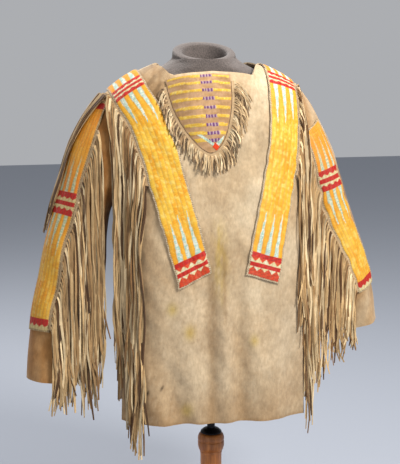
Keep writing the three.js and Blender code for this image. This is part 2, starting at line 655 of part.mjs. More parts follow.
// The long strands that lie on the outer back of the right sleeve, from a backing at the armhole.
function armFringe({ count, width, root: rootS, turns }) {
  const at = columns(ARM_FRINGE, 'k', 'from', 'to', 'end');
  const surface = sleeves.right;
  const outAt = (s, angle) => normalAt(surface, s, angle, 0.004, 1);
  const root = k => {
    const angle = at.from(k);
    const out = outAt(rootS, angle);
    const along = surface(rootS, angle + 2).sub(surface(rootS, angle - 2)).normalize();
    const leave = along.clone().cross(out).normalize();
    return { p: surface(rootS, angle).addScaledVector(out, LIFT), along, leave, out };
  };
  const strand = n => {
    const k = (n + 0.5) / count;
    const end = at.end(k) * (1 + 0.08 * vary(n, 12));
    return [...turns, end].map(s => {
      const angle = lerp(at.from(k), at.to(k), (s - rootS) / (at.end(k) - rootS));
      const outwards = outAt(s, angle);
      const centre = surface(s, angle).addScaledVector(outwards, LIFT + 1.4);
      const ahead = surface(s + 0.01, angle).sub(surface(s, angle)).normalize();
      const sideways = outwards.clone().cross(ahead).normalize();
      return { centre, sideways, outwards, half: width / 2 * (s === end ? TIP : 1) };
    });
  };
  return fringe({ root, count, strand });
}

// ---- The dress form ----
const form = columns(FORM, 'z', 'half', 'front', 'back');

// How far forward or back the inside of the shirt is from its seam line, at height z.
function shirtDepth(face, x, z) {
  const share = (z - shoulderZ(Math.abs(x)) + SHOULDER_DROP) / SHOULDER_DROP;
  if (share >= 1) return 0;
  const cap = share > 0 ? Math.sqrt(1 - share * share) ** TURN_POWER[face] : 1;
  return hangDepth(face, x, z) * cap;
}

function shoulderReach(z) {
  let x = 0;
  while (x < 200 && shoulderZ(x) - FORM_CLEARANCE > z) x += 0.5;
  return x;
}

function formRing(z, count) {
  const half = Math.min(form.half(z), shoulderReach(z) - 1);
  return steps(count).slice(0, count).map(k => {
    const turn = k * Math.PI * 2;
    const x = half * Math.sin(turn);
    const face = Math.cos(turn) >= 0 ? FRONT : BACK;
    const full = (face === FRONT ? form.front(z) : form.back(z)) * Math.abs(Math.cos(turn));
    const inside = Math.max(0, shirtDepth(face, x, z) - HIDE - FORM_CLEARANCE);
    return vec(x + lean(z), face * Math.min(full, inside) + SEAM_Y * 0.6, z);
  });
}

// Between the shoulders and the neck the rings turn from flat to round. Near the middle nothing is over
// them, because the hides are cut away there.
function flareRing(z, half, count) {
  const k = smoothstep(z, FLARE[0].z - 7, FLARE[FLARE.length - 1].z);
  const neckDepth = NECK.radius * NECK.depth;
  return steps(count).slice(0, count).map(share => {
    const turn = share * Math.PI * 2;
    const x = half * Math.sin(turn);
    const face = Math.cos(turn) >= 0 ? FRONT : BACK;
    const formDepth = face === FRONT ? form.front(z) : form.back(z);
    const full = lerp(formDepth, neckDepth, k) * Math.abs(Math.cos(turn));
    const inside = Math.max(0, shirtDepth(face, x, z) - HIDE - FLARE_CLEARANCE);
    const bare = 1 - smoothstep(Math.abs(x), BARE.from, BARE.to);
    const y = Math.max(Math.min(full, inside), Math.min(full, neckDepth) * bare);
    return vec(x + lean(z), face * y + lerp(SEAM_Y * 0.6, NECK.y, k), z);
  });
}

// Rings of the neck: up the outside, over its round lip, and down into the hollow.
function neckRing(radius, height, count) {
  return steps(count).slice(0, count).map(k => {
    const turn = k * Math.PI * 2;
    const y = -radius * NECK.depth * Math.cos(turn);
    const tilt = height > -15 ? Math.tan(rad(NECK.tilt)) * y * smoothstep(height, -15, 0) : 0;
    const z = NECK.z + height + tilt;
    return vec(radius * Math.sin(turn) + lean(z), y + NECK.y, z);
  });
}

function dressForm() {
  const count = 24;
  const heights = [352, 360, 400, 470, 545, 620, 690, 760, 830, 880, 920, 950, 972];
  const rings = heights.map(z => formRing(z, count));
  rings.push(...FLARE.map(({ z, half }) => flareRing(z, half, count)));
  const { radius, inner, bead, cavity } = NECK;
  const rim = (radius + inner) / 2;
  for (const angle of [25, 60, 120, 175]) {
    const a = rad(angle);
    rings.push(neckRing(rim + (radius - inner) / 2 * Math.cos(a), bead * Math.sin(a), count));
  }
  rings.push(neckRing(inner - 2, -cavity + 6, count), neckRing(inner - 8, -cavity, count));
  return loft(rings);
}

// ---- The stand ----
function turned(profile, segments) {
  const points = profile.map(([radius, z]) => new THREE.Vector2(radius, z));
  const geometry = new THREE.LatheGeometry(points, segments);
  geometry.rotateX(Math.PI / 2);
  return geometry;
}

function rod() {
  const { radius, bottom, top } = ROD;
  return turned([[0, bottom], [radius, bottom], [radius, top], [0, top]], 16);
}

function rodCap() {
  const { radius, z } = CAP;
  const bore = ROD.radius + 0.6;
  const profile = [[bore, z], [radius, z], [radius, z + 3], [radius * 0.7, z + 9], [bore, z + 11], [bore, z]];
  return turned(profile, 20);
}

function post() {
  const { radius, collar, collarTop, collarBottom, bottom } = POST;
  const base = [[0, bottom], [radius + 8, bottom], [radius + 8, bottom + 8], [radius + 1, bottom + 20]];
  const shaft = [[radius, bottom + 30], [radius, collarBottom - 3]];
  const head = [
    [collar - 2, collarBottom], [collar, collarBottom + 9], [collar, collarTop - 9],
    [collar - 3, collarTop - 2], [collar - 6, collarTop], [0, collarTop],
  ];
  return turned([...base, ...shaft, ...head], 24);
}

function foot() {
  const { radius, height, edge } = FOOT;
  return turned([
    [0, 0], [radius - 3, 0], [radius, 3], [radius, height - edge], [radius - 4, height - 4],
    [radius - edge - 4, height], [0, height],
  ], 32);
}

// ---- Materials ----
function material(color, roughness, metalness = 0) {
  return new THREE.MeshStandardMaterial({ color, roughness, metalness });
}

const HIDE_COLOUR = material(0xc3a880, 0.92);
const FRINGE_COLOUR = material(0xb8976a, 0.92);
const QUILL_COLOUR = material(0xf0b93a, 0.6);
const BIB_COLOUR = material(0xc2a684, 0.85);
const KNIT_COLOUR = material(0x6f6a70, 0.95);
const IRON_COLOUR = material(0x17171a, 0.4, 0.8);
const WOOD_COLOUR = material(0xa8683a, 0.5);

// ---- The object ----
const object = new THREE.Group();
function add(name, geometry, finish) {
  const mesh = new THREE.Mesh(geometry, finish);
  mesh.name = name;
  object.add(mesh);
}

function addHides() {
  add('front_hide', hide(FRONT, frontEdge, 25, 16), HIDE_COLOUR);
  add('back_hide', hide(BACK, backEdge, 22, 14), HIDE_COLOUR);
  add('right_sleeve', sleeve(sleeves.right, -1), HIDE_COLOUR);
  add('left_sleeve', sleeve(sleeves.left, 1), HIDE_COLOUR);
}

const onRightSleeve = (...options) => sleeveBand(sleeves.right, -1, RIGHT_SLEEVE_STRIP, ...options);
const onLeftSleeve = (...options) => sleeveBand(sleeves.left, 1, LEFT_SLEEVE_STRIP, ...options);

function addBands() {
  add('right_shoulder_strip', wall(shoulderBand(RIGHT_STRIP).grid, BAND), QUILL_COLOUR);
  add('left_shoulder_strip', wall(shoulderBand(LEFT_STRIP).grid, BAND), QUILL_COLOUR);
  add('right_sleeve_strip', wall(onRightSleeve().grid, BAND), QUILL_COLOUR);
  add('left_sleeve_strip', wall(onLeftSleeve().grid, BAND), QUILL_COLOUR);
  add('bib', wall(bibGrid(), BAND), BIB_COLOUR);
}

// The fringes grow beside finer copies of the strips, at the height of the strips' undersides.
function addFringes() {
  const { rightSleeve, leftSleeve, rightShoulder, leftShoulder, bib, rightArm } = FRINGES;
  const made = {
    right_sleeve_fringe: stripFringe(rightSleeve, onRightSleeve(LIFT, 40), -1, rightCloth),
    left_sleeve_fringe: stripFringe(leftSleeve, onLeftSleeve(LIFT, 40), 1, leftCloth),
    right_shoulder_fringe: stripFringe(rightShoulder, shoulderBand(RIGHT_STRIP, LIFT, 48), -1, rightCloth),
    left_shoulder_fringe: stripFringe(leftShoulder, shoulderBand(LEFT_STRIP, LIFT, 48), 1, leftCloth),
    bib_fringe: bibFringe(bib, frontCloth),
    right_arm_fringe: armFringe(rightArm),
  };
  for (const [name, geometry] of Object.entries(made)) add(name, geometry, FRINGE_COLOUR);
}

addHides();
addBands();
addFringes();
add('dress_form', dressForm(), KNIT_COLOUR);
add('stand_rod', rod(), IRON_COLOUR);
add('rod_cap', rodCap(), IRON_COLOUR);
add('stand_post', post(), WOOD_COLOUR);
add('stand_foot', foot(), WOOD_COLOUR);

export default object;
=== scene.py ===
"""A hide war shirt with quilled bands, on a limbless dress form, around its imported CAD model.

Sizes and places are in millimetres, as in the CAD; make_mesh() turns them to metres. x is across
(the wearer's right is -x), the shirt's front faces -y, and z is up. Colours are written as sRGB.
"""

import bpy
import numpy as np
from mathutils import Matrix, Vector


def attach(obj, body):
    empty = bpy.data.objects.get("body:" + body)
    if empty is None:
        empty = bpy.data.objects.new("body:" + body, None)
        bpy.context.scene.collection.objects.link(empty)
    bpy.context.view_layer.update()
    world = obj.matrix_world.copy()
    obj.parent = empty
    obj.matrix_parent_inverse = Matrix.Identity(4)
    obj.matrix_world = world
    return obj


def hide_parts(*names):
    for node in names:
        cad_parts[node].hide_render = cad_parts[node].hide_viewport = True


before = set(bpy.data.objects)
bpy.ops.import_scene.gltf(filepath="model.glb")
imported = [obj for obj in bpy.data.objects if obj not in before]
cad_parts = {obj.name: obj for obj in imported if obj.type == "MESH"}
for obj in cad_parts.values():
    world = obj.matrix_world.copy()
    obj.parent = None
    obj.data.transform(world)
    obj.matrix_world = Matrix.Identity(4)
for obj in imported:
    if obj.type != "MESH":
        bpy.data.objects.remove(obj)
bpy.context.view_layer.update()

# ---- The camera, at the photograph's viewing angle ----
MM = 0.001
CAMERA_AT = (-536.2, -2408.2, 1108.8)
CAMERA_TARGET = (-24.36, 0, 674.68)
LENS = 92.4                  # on a 36 mm sensor


def add_camera():
    data = bpy.data.cameras.new("camera")
    data.lens = LENS
    data.sensor_width = 36
    camera = bpy.data.objects.new("camera", data)
    bpy.context.scene.collection.objects.link(camera)
    camera.location = Vector(CAMERA_AT) * MM
    aim = Vector(CAMERA_TARGET) - Vector(CAMERA_AT)
    camera.rotation_euler = aim.to_track_quat("-Z", "Y").to_euler()
    bpy.context.scene.camera = camera


add_camera()

# ---- Driving sizes, the same as the CAD's ----
HIDE = 2.0                   # thickness of the hide
BAND = 2.2                   # thickness of the quilled strips and the bib
SEAM_GAP = 1.6
LIFT = 2.3                   # space between a strip and the hide under it
HEM_Z = 300
SHOULDER_DROP = 190
TURN = 0.68
SEAM_Y = 8
STRIP_WIDTH = 73
SLEEVE_STRIP_WIDTH = 60
FRONT, BACK = -1, 1
TURN_POWER = {FRONT: 0.8, BACK: 0.6}
ROUNDNESS = {FRONT: 2.7, BACK: 2}   # above 2 a hide is flatter in the middle
NECKLINE = {FRONT: (0.115, 90, 114), BACK: (0.134, 74, 112)}   # cut away, and where the cut climbs
EASE = 0.24                  # share of a sleeve over which the armhole's shape fades
SEWN_TO = 120                # angle to which a sleeve is sewn to the armhole
UNDERARM_Z = 764


def table(names, *rows):
    """Named columns of numbers, from rows."""
    return dict(zip(names.split(), np.array(rows, float).T))


BODY = table(
    "z half front back",
    (300, 226, 136, 122), (450, 217, 133, 119), (600, 210, 130, 117), (740, 207, 127, 116),
    (850, 208, 119, 113), (950, 214, 112, 108), (1050, 225, 108, 104))
SHOULDER = table(
    "x z",
    (0, 1042), (70, 1036), (110, 1023), (160, 1000), (205, 969), (215, 960))
FRONT_EDGE = table(
    "v right left",
    (0, 211, 170), (0.3, 199, 172), (0.55, 183, 174), (0.68, 178, 175), (0.84, 186, 182), (0.93, 197, 191),
    (1, 210, 203))
BACK_EDGE = table(
    "v right left",
    (0, 196, 222), (0.3, 188, 208), (0.5, 180, 190), (0.64, 177, 178), (0.84, 186, 182), (0.93, 197, 191),
    (1, 210, 203))
FOLD_COLUMNS = "x0 z0 x1 z1 width depth"
FRONT_FOLDS = table(
    FOLD_COLUMNS,
    (-172, 480, -142, 300, 30, 9), (-140, 450, -92, 300, 24, -8), (-158, 640, -152, 430, 20, -5),
    (-34, 700, -30, 330, 20, -7), (4, 660, 0, 300, 18, 5), (34, 690, 30, 300, 20, -7),
    (78, 520, 84, 300, 26, 6), (138, 560, 142, 300, 20, -6), (82, 960, 70, 800, 18, -5),
    (-118, 980, -84, 880, 16, -6))
BACK_FOLDS = table(
    FOLD_COLUMNS,
    (-150, 560, -158, 300, 24, 9), (-96, 600, -104, 300, 22, -9), (-30, 700, -36, 300, 26, 8),
    (34, 640, 44, 300, 22, -8), (104, 620, 110, 300, 24, 9), (166, 540, 170, 300, 20, -7),
    (60, 930, 90, 760, 20, -5), (-70, 930, -96, 760, 20, -5))
ARMHOLE = table(
    "angle v",
    (0, 1), (30, 0.9), (60, 0.825), (90, 0.758), (120, 0.7))
SLEEVE_COLUMNS = "s outX outZ inX inZ y depth"
RIGHT_SLEEVE = table(
    SLEEVE_COLUMNS,
    (0, -215, 969, -208, 764, 5, 60), (0.08, -242, 938, -213, 742, 3, 64),
    (0.19, -274, 890, -218, 712, -2, 66), (0.3, -300, 832, -223, 672, -8, 65),
    (0.42, -322, 762, -227, 622, -18, 64), (0.55, -346, 686, -232, 566, -30, 62),
    (0.68, -366, 606, -241, 510, -44, 60), (0.8, -382, 528, -255, 464, -58, 57),
    (0.91, -391, 460, -271, 428, -70, 54), (1, -396, 407, -284, 401, -80, 52))
LEFT_SLEEVE = table(
    SLEEVE_COLUMNS,
    (0, 193, 969, 203, 764, 5, 60), (0.08, 216, 937, 208, 744, 6, 63), (0.19, 240, 890, 213, 712, 8, 64),
    (0.3, 262, 842, 219, 672, 9, 63), (0.42, 284, 780, 226, 628, 10, 61),
    (0.55, 308, 712, 237, 580, 12, 59), (0.68, 332, 646, 251, 536, 14, 57),
    (0.8, 350, 588, 264, 500, 16, 54), (0.91, 364, 526, 276, 472, 19, 51), (1, 375, 466, 286, 449, 22, 48))
STRIP_COLUMNS = "v x slant"   # slant is how far a strip is cut out of square there, in degrees
RIGHT_STRIP = table(
    STRIP_COLUMNS,
    (0.37, -59, 12), (0.6, -101, 5), (0.7, -118, 2), (0.78, -136, 0), (0.88, -163, 0), (1, -172, 0),
    (1.14, -158, 0), (1.3, -132, 0), (1.5, -104, 0))
LEFT_STRIP = table(
    STRIP_COLUMNS,
    (0.37, 80, -8), (0.6, 116, -4), (0.74, 138, 0), (0.86, 146, 0), (1, 149, 0), (1.14, 146, 0),
    (1.3, 128, 0), (1.5, 106, 0))
RIGHT_SLEEVE_STRIP = table(
    "s angle",
    (0.05, 8), (0.12, 18), (0.2, 29), (0.3, 34), (0.6, 34), (0.83, 34))
LEFT_SLEEVE_STRIP = table(
    "s angle",
    (0.06, 60), (0.2, 73), (0.32, 77), (0.45, 73), (0.6, 66), (0.85, 56))
BIB_HALF, BIB_DOWN, BIB_WIDEN, BIB_FALL = 64, 160, 1.25, 0.91
BIB_X, BIB_SWAY, BIB_TOP_V, BIB_V_PER_MM = -31, 13, 0.872, 0.00118
# Places inside the shirt, which its walls are thickened towards.
WAIST, CHEST, THROAT = np.array([(-10, 0, 600), (-10, 0, 700), (-10, 0, 900)])
FORM = table(
    "z half front back",
    (352, 146, 98, 92), (362, 158, 106, 99), (400, 165, 111, 103), (500, 164, 109, 102), (620, 148, 98, 93),
    (740, 160, 106, 98), (840, 172, 110, 101), (900, 183, 102, 96), (1000, 186, 98, 92),
    (1100, 186, 98, 92))
FORM_CLEARANCE = 8
NECK_RADIUS, NECK_INNER, NECK_DEPTH, NECK_Y, NECK_Z = 66, 46, 0.88, 10, 1042
NECK_TILT, NECK_CAVITY, NECK_BEAD = 18, 34, 9
BARE = (50, 74)              # the form shows this far to each side of the neck's middle
FLARE = table(
    "z half",
    (989, 158), (999, 135), (1009, 113), (1018, 94), (1027, 78), (1036, 68))
FLARE_CLEARANCE = 13


# ---- Helpers ----
def lerp(a, b, t):
    return a + (b - a) * t


def smoothstep(x, a, b):
    t = np.clip((x - a) / (b - a), 0, 1)
    return t * t * (3 - 2 * t)


def bump(x, middle, width):
    """1 at the middle, fading to 0 about two widths away."""
    return np.exp(-(((x - middle) / width) ** 2))


def hermite(w, a, b, slope_a, slope_b, step=1):
    """A smooth curve from a to b while w goes from 0 to 1, with a slope at each end."""
    return ((2 * w**3 - 3 * w**2 + 1) * a + (w**3 - 2 * w**2 + w) * step * slope_a
            + (3 * w**2 - 2 * w**3) * b + (w**3 - w**2) * step * slope_b)


def column(rows, by, key):
    """A smooth curve through one column of a table, the same as the CAD's."""
    at, value = rows[by], rows[key]
    slope = np.empty_like(value)
    slope[1:-1] = (value[2:] - value[:-2]) / (at[2:] - at[:-2])
    slope[0] = (value[1] - value[0]) / (at[1] - at[0])
    slope[-1] = (value[-1] - value[-2]) / (at[-1] - at[-2])

    def curve(t):
        t = np.clip(t, at[0], at[-1])
        i = np.clip(np.searchsorted(at, t), 1, len(at) - 1)
        h = at[i] - at[i - 1]
        return hermite((t - at[i - 1]) / h, value[i - 1], value[i], slope[i - 1], slope[i], h)

    return curve


def columns(rows, by, *keys):
    return [column(rows, by, key) for key in keys]


def waves(coords, seed, count=9):
    """Smooth noise of about -1 to 1. The coordinates are in wavelengths."""
    draw = np.random.default_rng(seed)
    total = 0.0
    for _ in range(count):
        heading = draw.normal(size=len(coords))
        turn = sum(h * c for h, c in zip(heading, coords))
        total = total + np.sin(2 * np.pi * (turn + draw.uniform()))
    return total / np.sqrt(count / 2)


def unit(v):
    return v / np.maximum(np.linalg.norm(v, axis=-1, keepdims=True), 1e-9)


def circle(count):
    return np.arange(count) / count * 2 * np.pi


def lean(z):
    """How far the whole shirt has shifted across at a height."""
    return 6 - 20 * (z - HEM_Z) / 750


def linear(colour):
    c = np.asarray(colour, float)
    return np.where(c <= 0.04045, c / 12.92, ((c + 0.055) / 1.055) ** 2.4)


# ---- The hides' surfaces ----
body_half, body_front, body_back = columns(BODY, "z", "half", "front", "back")
shoulder_z = column(SHOULDER, "x", "z")
front_edge = dict(zip(("right", "left"), columns(FRONT_EDGE, "v", "right", "left")))
back_edge = dict(zip(("right", "left"), columns(BACK_EDGE, "v", "right", "left")))


def fold_depth(folds, x, z):
    total = 0.0
    for x0, z0, x1, z1, width, depth in zip(*folds.values()):
        k = (z0 - z) / (z0 - z1)
        middle = lerp(x0, x1, np.clip(k, 0, 1.2))
        fade = smoothstep(k, -0.15, 0.5)
        if z1 > HEM_Z + 20:
            fade = fade * (1 - smoothstep(k, 0.7, 1.2))
        total = total + depth * fade * bump(x, middle, width)
    return total


def wrinkles(face, x, z):
    """The hide's fine wrinkles, which the CAD leaves out: long soft ones that hang, and small puckers."""
    hanging = waves((x / 70, z / 420), 11 + face) * smoothstep(z, 900, 500)
    small = waves((x / 34, z / 60), 21 + face)
    drag = waves(((x + 0.7 * z) / 60, (x - 0.7 * z) / 260), 31 + face)
    calm = 1 - smoothstep(np.abs(x), 150, 190)
    return calm * (1.5 * hanging + 0.35 * small + 0.5 * drag)


def hang_depth(face, x, z):
    power = ROUNDNESS[face]
    round_ = np.maximum(0, 1 - np.abs(x / body_half(z)) ** power) ** (1 / power)
    return (body_front(z) if face == FRONT else body_back(z)) * round_


def hide_point(face, x, v):
    """A point of a hide: x across, and v from the hem (0) to the shoulder seam (1)."""
    x, v = np.broadcast_arrays(np.asarray(x, float), np.asarray(v, float))
    turn_z = shoulder_z(np.abs(x)) - SHOULDER_DROP
    angle = np.maximum(0, (v - TURN) / (1 - TURN)) * np.pi / 2
    z = np.where(v < TURN, lerp(HEM_Z, turn_z, v / TURN), turn_z + SHOULDER_DROP * np.sin(angle))
    cap = np.maximum(0, np.cos(angle)) ** TURN_POWER[face]
    fold = fold_depth(FRONT_FOLDS if face == FRONT else BACK_FOLDS, x, z) + wrinkles(face, x, z)
    y = face * (hang_depth(face, x, z) * cap + fold * cap + SEAM_GAP / 2) + SEAM_Y * (1 - cap)
    return np.stack([x + lean(z), y, z], -1)


def over_shoulder(x, v):
    """A point of both hides: v runs from the front hem (0) over the seam (1) to the back hem (2)."""
    x, v = np.broadcast_arrays(np.asarray(x, float), np.asarray(v, float))
    front = hide_point(FRONT, x, np.minimum(v, 1))
    back = hide_point(BACK, x, np.minimum(2 - v, 1))
    return np.where((v <= 1)[..., None], front, back)


# ---- The sleeves' surfaces ----
armhole_v = column(ARMHOLE, "angle", "v")


def armhole_point(side, angle):
    """Where a sleeve's first ring is: on the armhole's edge, and free under the arm."""
    turned = np.mod(angle, 360)
    from_top = np.where(turned <= 180, turned, 360 - turned)
    v = armhole_v(np.minimum(from_top, SEWN_TO))
    reach = "right" if side < 0 else "left"
    front = hide_point(FRONT, side * (front_edge[reach](v) + SEAM_GAP), v)
    back = hide_point(BACK, side * (back_edge[reach](v) + SEAM_GAP), v)
    sewn = np.where((turned <= 180)[..., None], front, back)
    k = np.radians(np.clip((from_top - SEWN_TO) / (180 - SEWN_TO), 0, 1) * 90)
    under = np.array([side * 206 + lean(UNDERARM_Z), 2, UNDERARM_Z])
    free = np.stack([lerp(under[0], sewn[..., 0], np.cos(k)), lerp(under[1], sewn[..., 1], np.cos(k)),
                     lerp(sewn[..., 2], under[2], np.sin(k))], -1)
    return np.where((from_top <= SEWN_TO)[..., None], sewn, free)


def sleeve_surface(rows, side):
    """surface(s, angle): s runs from the armhole to the cuff; angle is 0 at the outer edge, 90 in front."""
    out_x, out_z, in_x, in_z, mid_y, depth = columns(rows, "s", "outX", "outZ", "inX", "inZ", "y", "depth")

    def ring(s, angle):
        c = np.cos(np.radians(angle))
        return np.stack([lerp(in_x(s), out_x(s), (1 + c) / 2),
                         mid_y(s) - depth(s) * np.sin(np.radians(angle)),
                         lerp(in_z(s), out_z(s), (1 + c) / 2)], -1)

    def surface(s, angle):
        s, angle = np.broadcast_arrays(np.asarray(s, float), np.asarray(angle, float))
        fade = np.maximum(0, 1 - s / EASE)[..., None] ** 2
        plain = ring(s, angle)
        joined = plain + fade * (armhole_point(side, angle) - ring(np.zeros_like(s), angle))
        a = np.radians(angle)
        soft = smoothstep(s, 0.1, 0.3)
        crease = waves((s * 4.2, np.cos(a) * 0.8, np.sin(a) * 0.8), 41 + side)
        outwards = unit(plain - (ring(s, angle) + ring(s, angle + 180)) / 2)
        return joined + outwards * (1.1 * soft * crease)[..., None]

    return surface


right_sleeve = sleeve_surface(RIGHT_SLEEVE, -1)
left_sleeve = sleeve_surface(LEFT_SLEEVE, 1)


# ---- Bands on a surface ----
def normal_at(surface, a, b, da, db, side=1):
    ta = surface(a + da, b) - surface(a - da, b)
    tb = surface(a, b + db) - surface(a, b - db)
    return unit(np.cross(ta, tb)) * side


def walk(surface, a, b, offset, da, db):
    """The places on surface(a, b) that are offset away from the starting places."""
    goal = surface(a, b) + offset
    for _ in range(4):
        here = surface(a, b)
        ta = (surface(a + da, b) - here) / da
        tb = (surface(a, b + db) - here) / db
        rest = goal - here
        aa, ab, bb = (ta * ta).sum(-1), (ta * tb).sum(-1), (tb * tb).sum(-1)
        ra, rb = (ta * rest).sum(-1), (tb * rest).sum(-1)
        det = aa * bb - ab * ab
        a = a + (ra * bb - rb * ab) / det
        b = b + (rb * aa - ra * ab) / det
    return a, b


class Band:
    """A band along a path on a surface. at(across, along) gives points on it, in millimetres."""

    def __init__(self, surface, da, db, side, path, half_width, slant=None):
        self.surface, self.da, self.db, self.side = surface, da, db, side
        self.half_width = half_width
        self.slant = slant
        k = np.linspace(0, 1, 600)
        centre = surface(*path(k))
        step = np.linalg.norm(np.diff(centre, axis=0), axis=1)
        self.lengths = np.concatenate([[0], np.cumsum(step)])
        self.length = self.lengths[-1]
        self.k = k
        self.path = path

    def frame_at(self, along):
        k = np.interp(along, self.lengths, self.k)
        a, b = self.path(k)
        ahead = self.surface(*self.path(np.minimum(k + 0.01, 1)))
        behind = self.surface(*self.path(np.maximum(k - 0.01, 0)))
        forward = unit(ahead - behind)
        out = normal_at(self.surface, a, b, self.da, self.db, self.side)
        return a, b, forward, unit(np.cross(forward, out)), out

    def at(self, across, along, lift):
        """Points at across (one for each column) and along (one for each row), lifted off the surface."""
        a, b, forward, sideways, _ = self.frame_at(along)
        if self.slant is not None:
            k = np.interp(along, self.lengths, self.k)
            sideways = sideways + forward * np.tan(np.radians(self.slant(k)))[:, None]
        a, b = np.broadcast_arrays(a[:, None] + 0 * across[None, :], b[:, None] + 0 * across[None, :])
        offset = sideways[:, None, :] * across[None, :, None]
        a, b = walk(self.surface, a, b, offset, self.da, self.db)
        normal = normal_at(self.surface, a, b, self.da, self.db, self.side)
        return self.surface(a, b) + normal * np.asarray(lift)[..., None]

    def edge(self, sign, along, beyond, lift):
        """Points beside one edge, with the directions along it, away from it and out of the surface."""
        _, _, forward, sideways, out = self.frame_at(along)
        points = self.at(np.array([sign * self.half_width]), along, lift)[:, 0]
        leave = sideways * sign
        return points + leave * beyond, forward * sign, leave, out


def shoulder_band(rows):
    x, slant = columns(rows, "v", "x", "slant")

    def place(k):
        return lerp(rows["v"][0], rows["v"][-1], k)

    def path(k):
        return x(place(k)), place(k)

    return Band(over_shoulder, 1, 0.004, 1, path, STRIP_WIDTH / 2, lambda k: slant(place(k)))


def sleeve_band(surface, side, rows):
    angle = column(rows, "s", "angle")

    def path(k):
        s = lerp(rows["s"][0], rows["s"][-1], k)
        return s, angle(s)

    return Band(surface, 0.004, 1, -side, path, SLEEVE_STRIP_WIDTH / 2)


# ---- Meshes ----
def signed_volume(points, faces):
    total = 0.0
    for size in set(map(len, faces)):
        ring = np.array([f for f in faces if len(f) == size])
        a = points[ring[:, 0]]
        for i in range(1, size - 1):
            total += np.einsum("ij,ij->i", a, np.cross(points[ring[:, i]], points[ring[:, i + 1]])).sum()
    return total


def make_mesh(name, points, faces, material, tint=None, weave=None, sharp=50):
    """An object from points in millimetres. tint is a colour for each point, weave a place for its grain."""
    points = np.asarray(points, float)
    if signed_volume(points, faces) < 0:
        faces = [f[::-1] for f in faces]
    mesh = bpy.data.meshes.new(name)
    mesh.from_pydata((points * MM).tolist(), [], faces)
    mesh.polygons.foreach_set("use_smooth", np.ones(len(mesh.polygons), bool))
    mesh.set_sharp_from_angle(angle=np.radians(sharp))
    if tint is not None:
        layer = mesh.attributes.new("tint", "FLOAT_COLOR", "POINT")
        rgba = np.ones((len(points), 4), np.float32)
        rgba[:, :3] = linear(np.clip(tint, 0, 1))
        layer.data.foreach_set("color", rgba.ravel())
    if weave is not None:
        layer = mesh.attributes.new("weave", "FLOAT_VECTOR", "POINT")
        layer.data.foreach_set("vector", np.asarray(weave, np.float32).ravel())
    mesh.materials.append(material)
    mesh.update()
    obj = bpy.data.objects.new(name, mesh)
    bpy.context.scene.collection.objects.link(obj)
    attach(obj, "root")
    return obj


def stand_in(obj, node):
    """Hides the CAD solid that a piece shows in place of."""
    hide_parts(node)
    return obj


def grid_normals(grid, closed):
    if closed:
        around = np.roll(grid, -1, 1) - np.roll(grid, 1, 1)
    else:
        around = np.gradient(grid, axis=1)
    return unit(np.cross(np.gradient(grid, axis=0), around))


def quads(index):
    """The faces of a grid of point numbers."""
    return np.stack([index[:-1, :-1], index[:-1, 1:], index[1:, 1:], index[1:, :-1]], -1).reshape(-1, 4)


def wrap(grid):
    """A grid with its first column again after its last."""
    return np.concatenate([grid, grid[:, :1]], 1)


def shell(grid, thickness, inside, step=4, closed=False):
    """The points and faces of a wall under a fine grid of outer points, with a coarser inner side.

    The grid has a whole number of steps each way. The third value returned says which grid point each
    point of the wall takes its colour from.
    """
    rows, cols = grid.shape[:2]
    normal = grid_normals(grid, closed)
    if (normal * (grid - inside)).sum() < 0:
        normal = -normal
    inner = (grid - normal * thickness)[::step, ::step]
    points = np.concatenate([grid.reshape(-1, 3), inner.reshape(-1, 3)])
    o = np.arange(rows * cols).reshape(rows, cols)
    source = np.concatenate([o.ravel(), o[::step, ::step].ravel()])
    i = rows * cols + np.arange(inner.shape[0] * inner.shape[1]).reshape(inner.shape[:2])
    if closed:
        o, i = wrap(o), wrap(i)
    faces = quads(o).tolist() + quads(i)[:, ::-1].tolist()

    def close(fine, pair, turned):
        """A face from one step of the fine edge to two points of the coarse one."""
        fine, pair = fine[:step + 1].tolist(), pair.tolist()
        faces.append(fine[::-1] + pair if turned else fine + pair[::-1])

    for n in range(i.shape[1] - 1):
        close(o[0, n * step:], i[0, n:n + 2], True)
        close(o[-1, n * step:], i[-1, n:n + 2], False)
    if not closed:
        for n in range(i.shape[0] - 1):
            close(o[n * step:, 0], i[n:n + 2, 0], False)
            close(o[n * step:, -1], i[n:n + 2, -1], True)
    return points, faces, source


class Ribbons:
    """Many thin strands gathered into one mesh."""

    def __init__(self):
        self.points, self.faces, self.tints, self.count = [], [], [], 0

    def add(self, path, sideways, outwards, half_width, half_thick, tint):
        """One strand of four sides along a path, with its directions and its colour at each section."""
        n = len(path)
        w = sideways * np.reshape(half_width, (-1, 1))
        t = outwards * np.reshape(half_thick, (-1, 1))
        ring = np.stack([path - w + t, path - w - t, path + w - t, path + w + t], 1)
        self.points.append(ring.reshape(-1, 3))
        self.tints.append(np.repeat(np.broadcast_to(tint, (n, 3)), 4, axis=0))
        base = self.count + 4 * np.arange(n - 1)[:, None]
        for a, b in ((0, 1), (1, 2), (2, 3), (3, 0)):
            self.faces += np.concatenate([base + b, base + a, base + 4 + a, base + 4 + b], 1).tolist()
        first, last = self.count, self.count + 4 * (n - 1)
        self.faces.append([first, first + 1, first + 2, first + 3])
        self.faces.append([last + 3, last + 2, last + 1, last])
        self.count += 4 * n

    def build(self, name, material):
        return make_mesh(name, np.concatenate(self.points), self.faces, material, np.concatenate(self.tints))


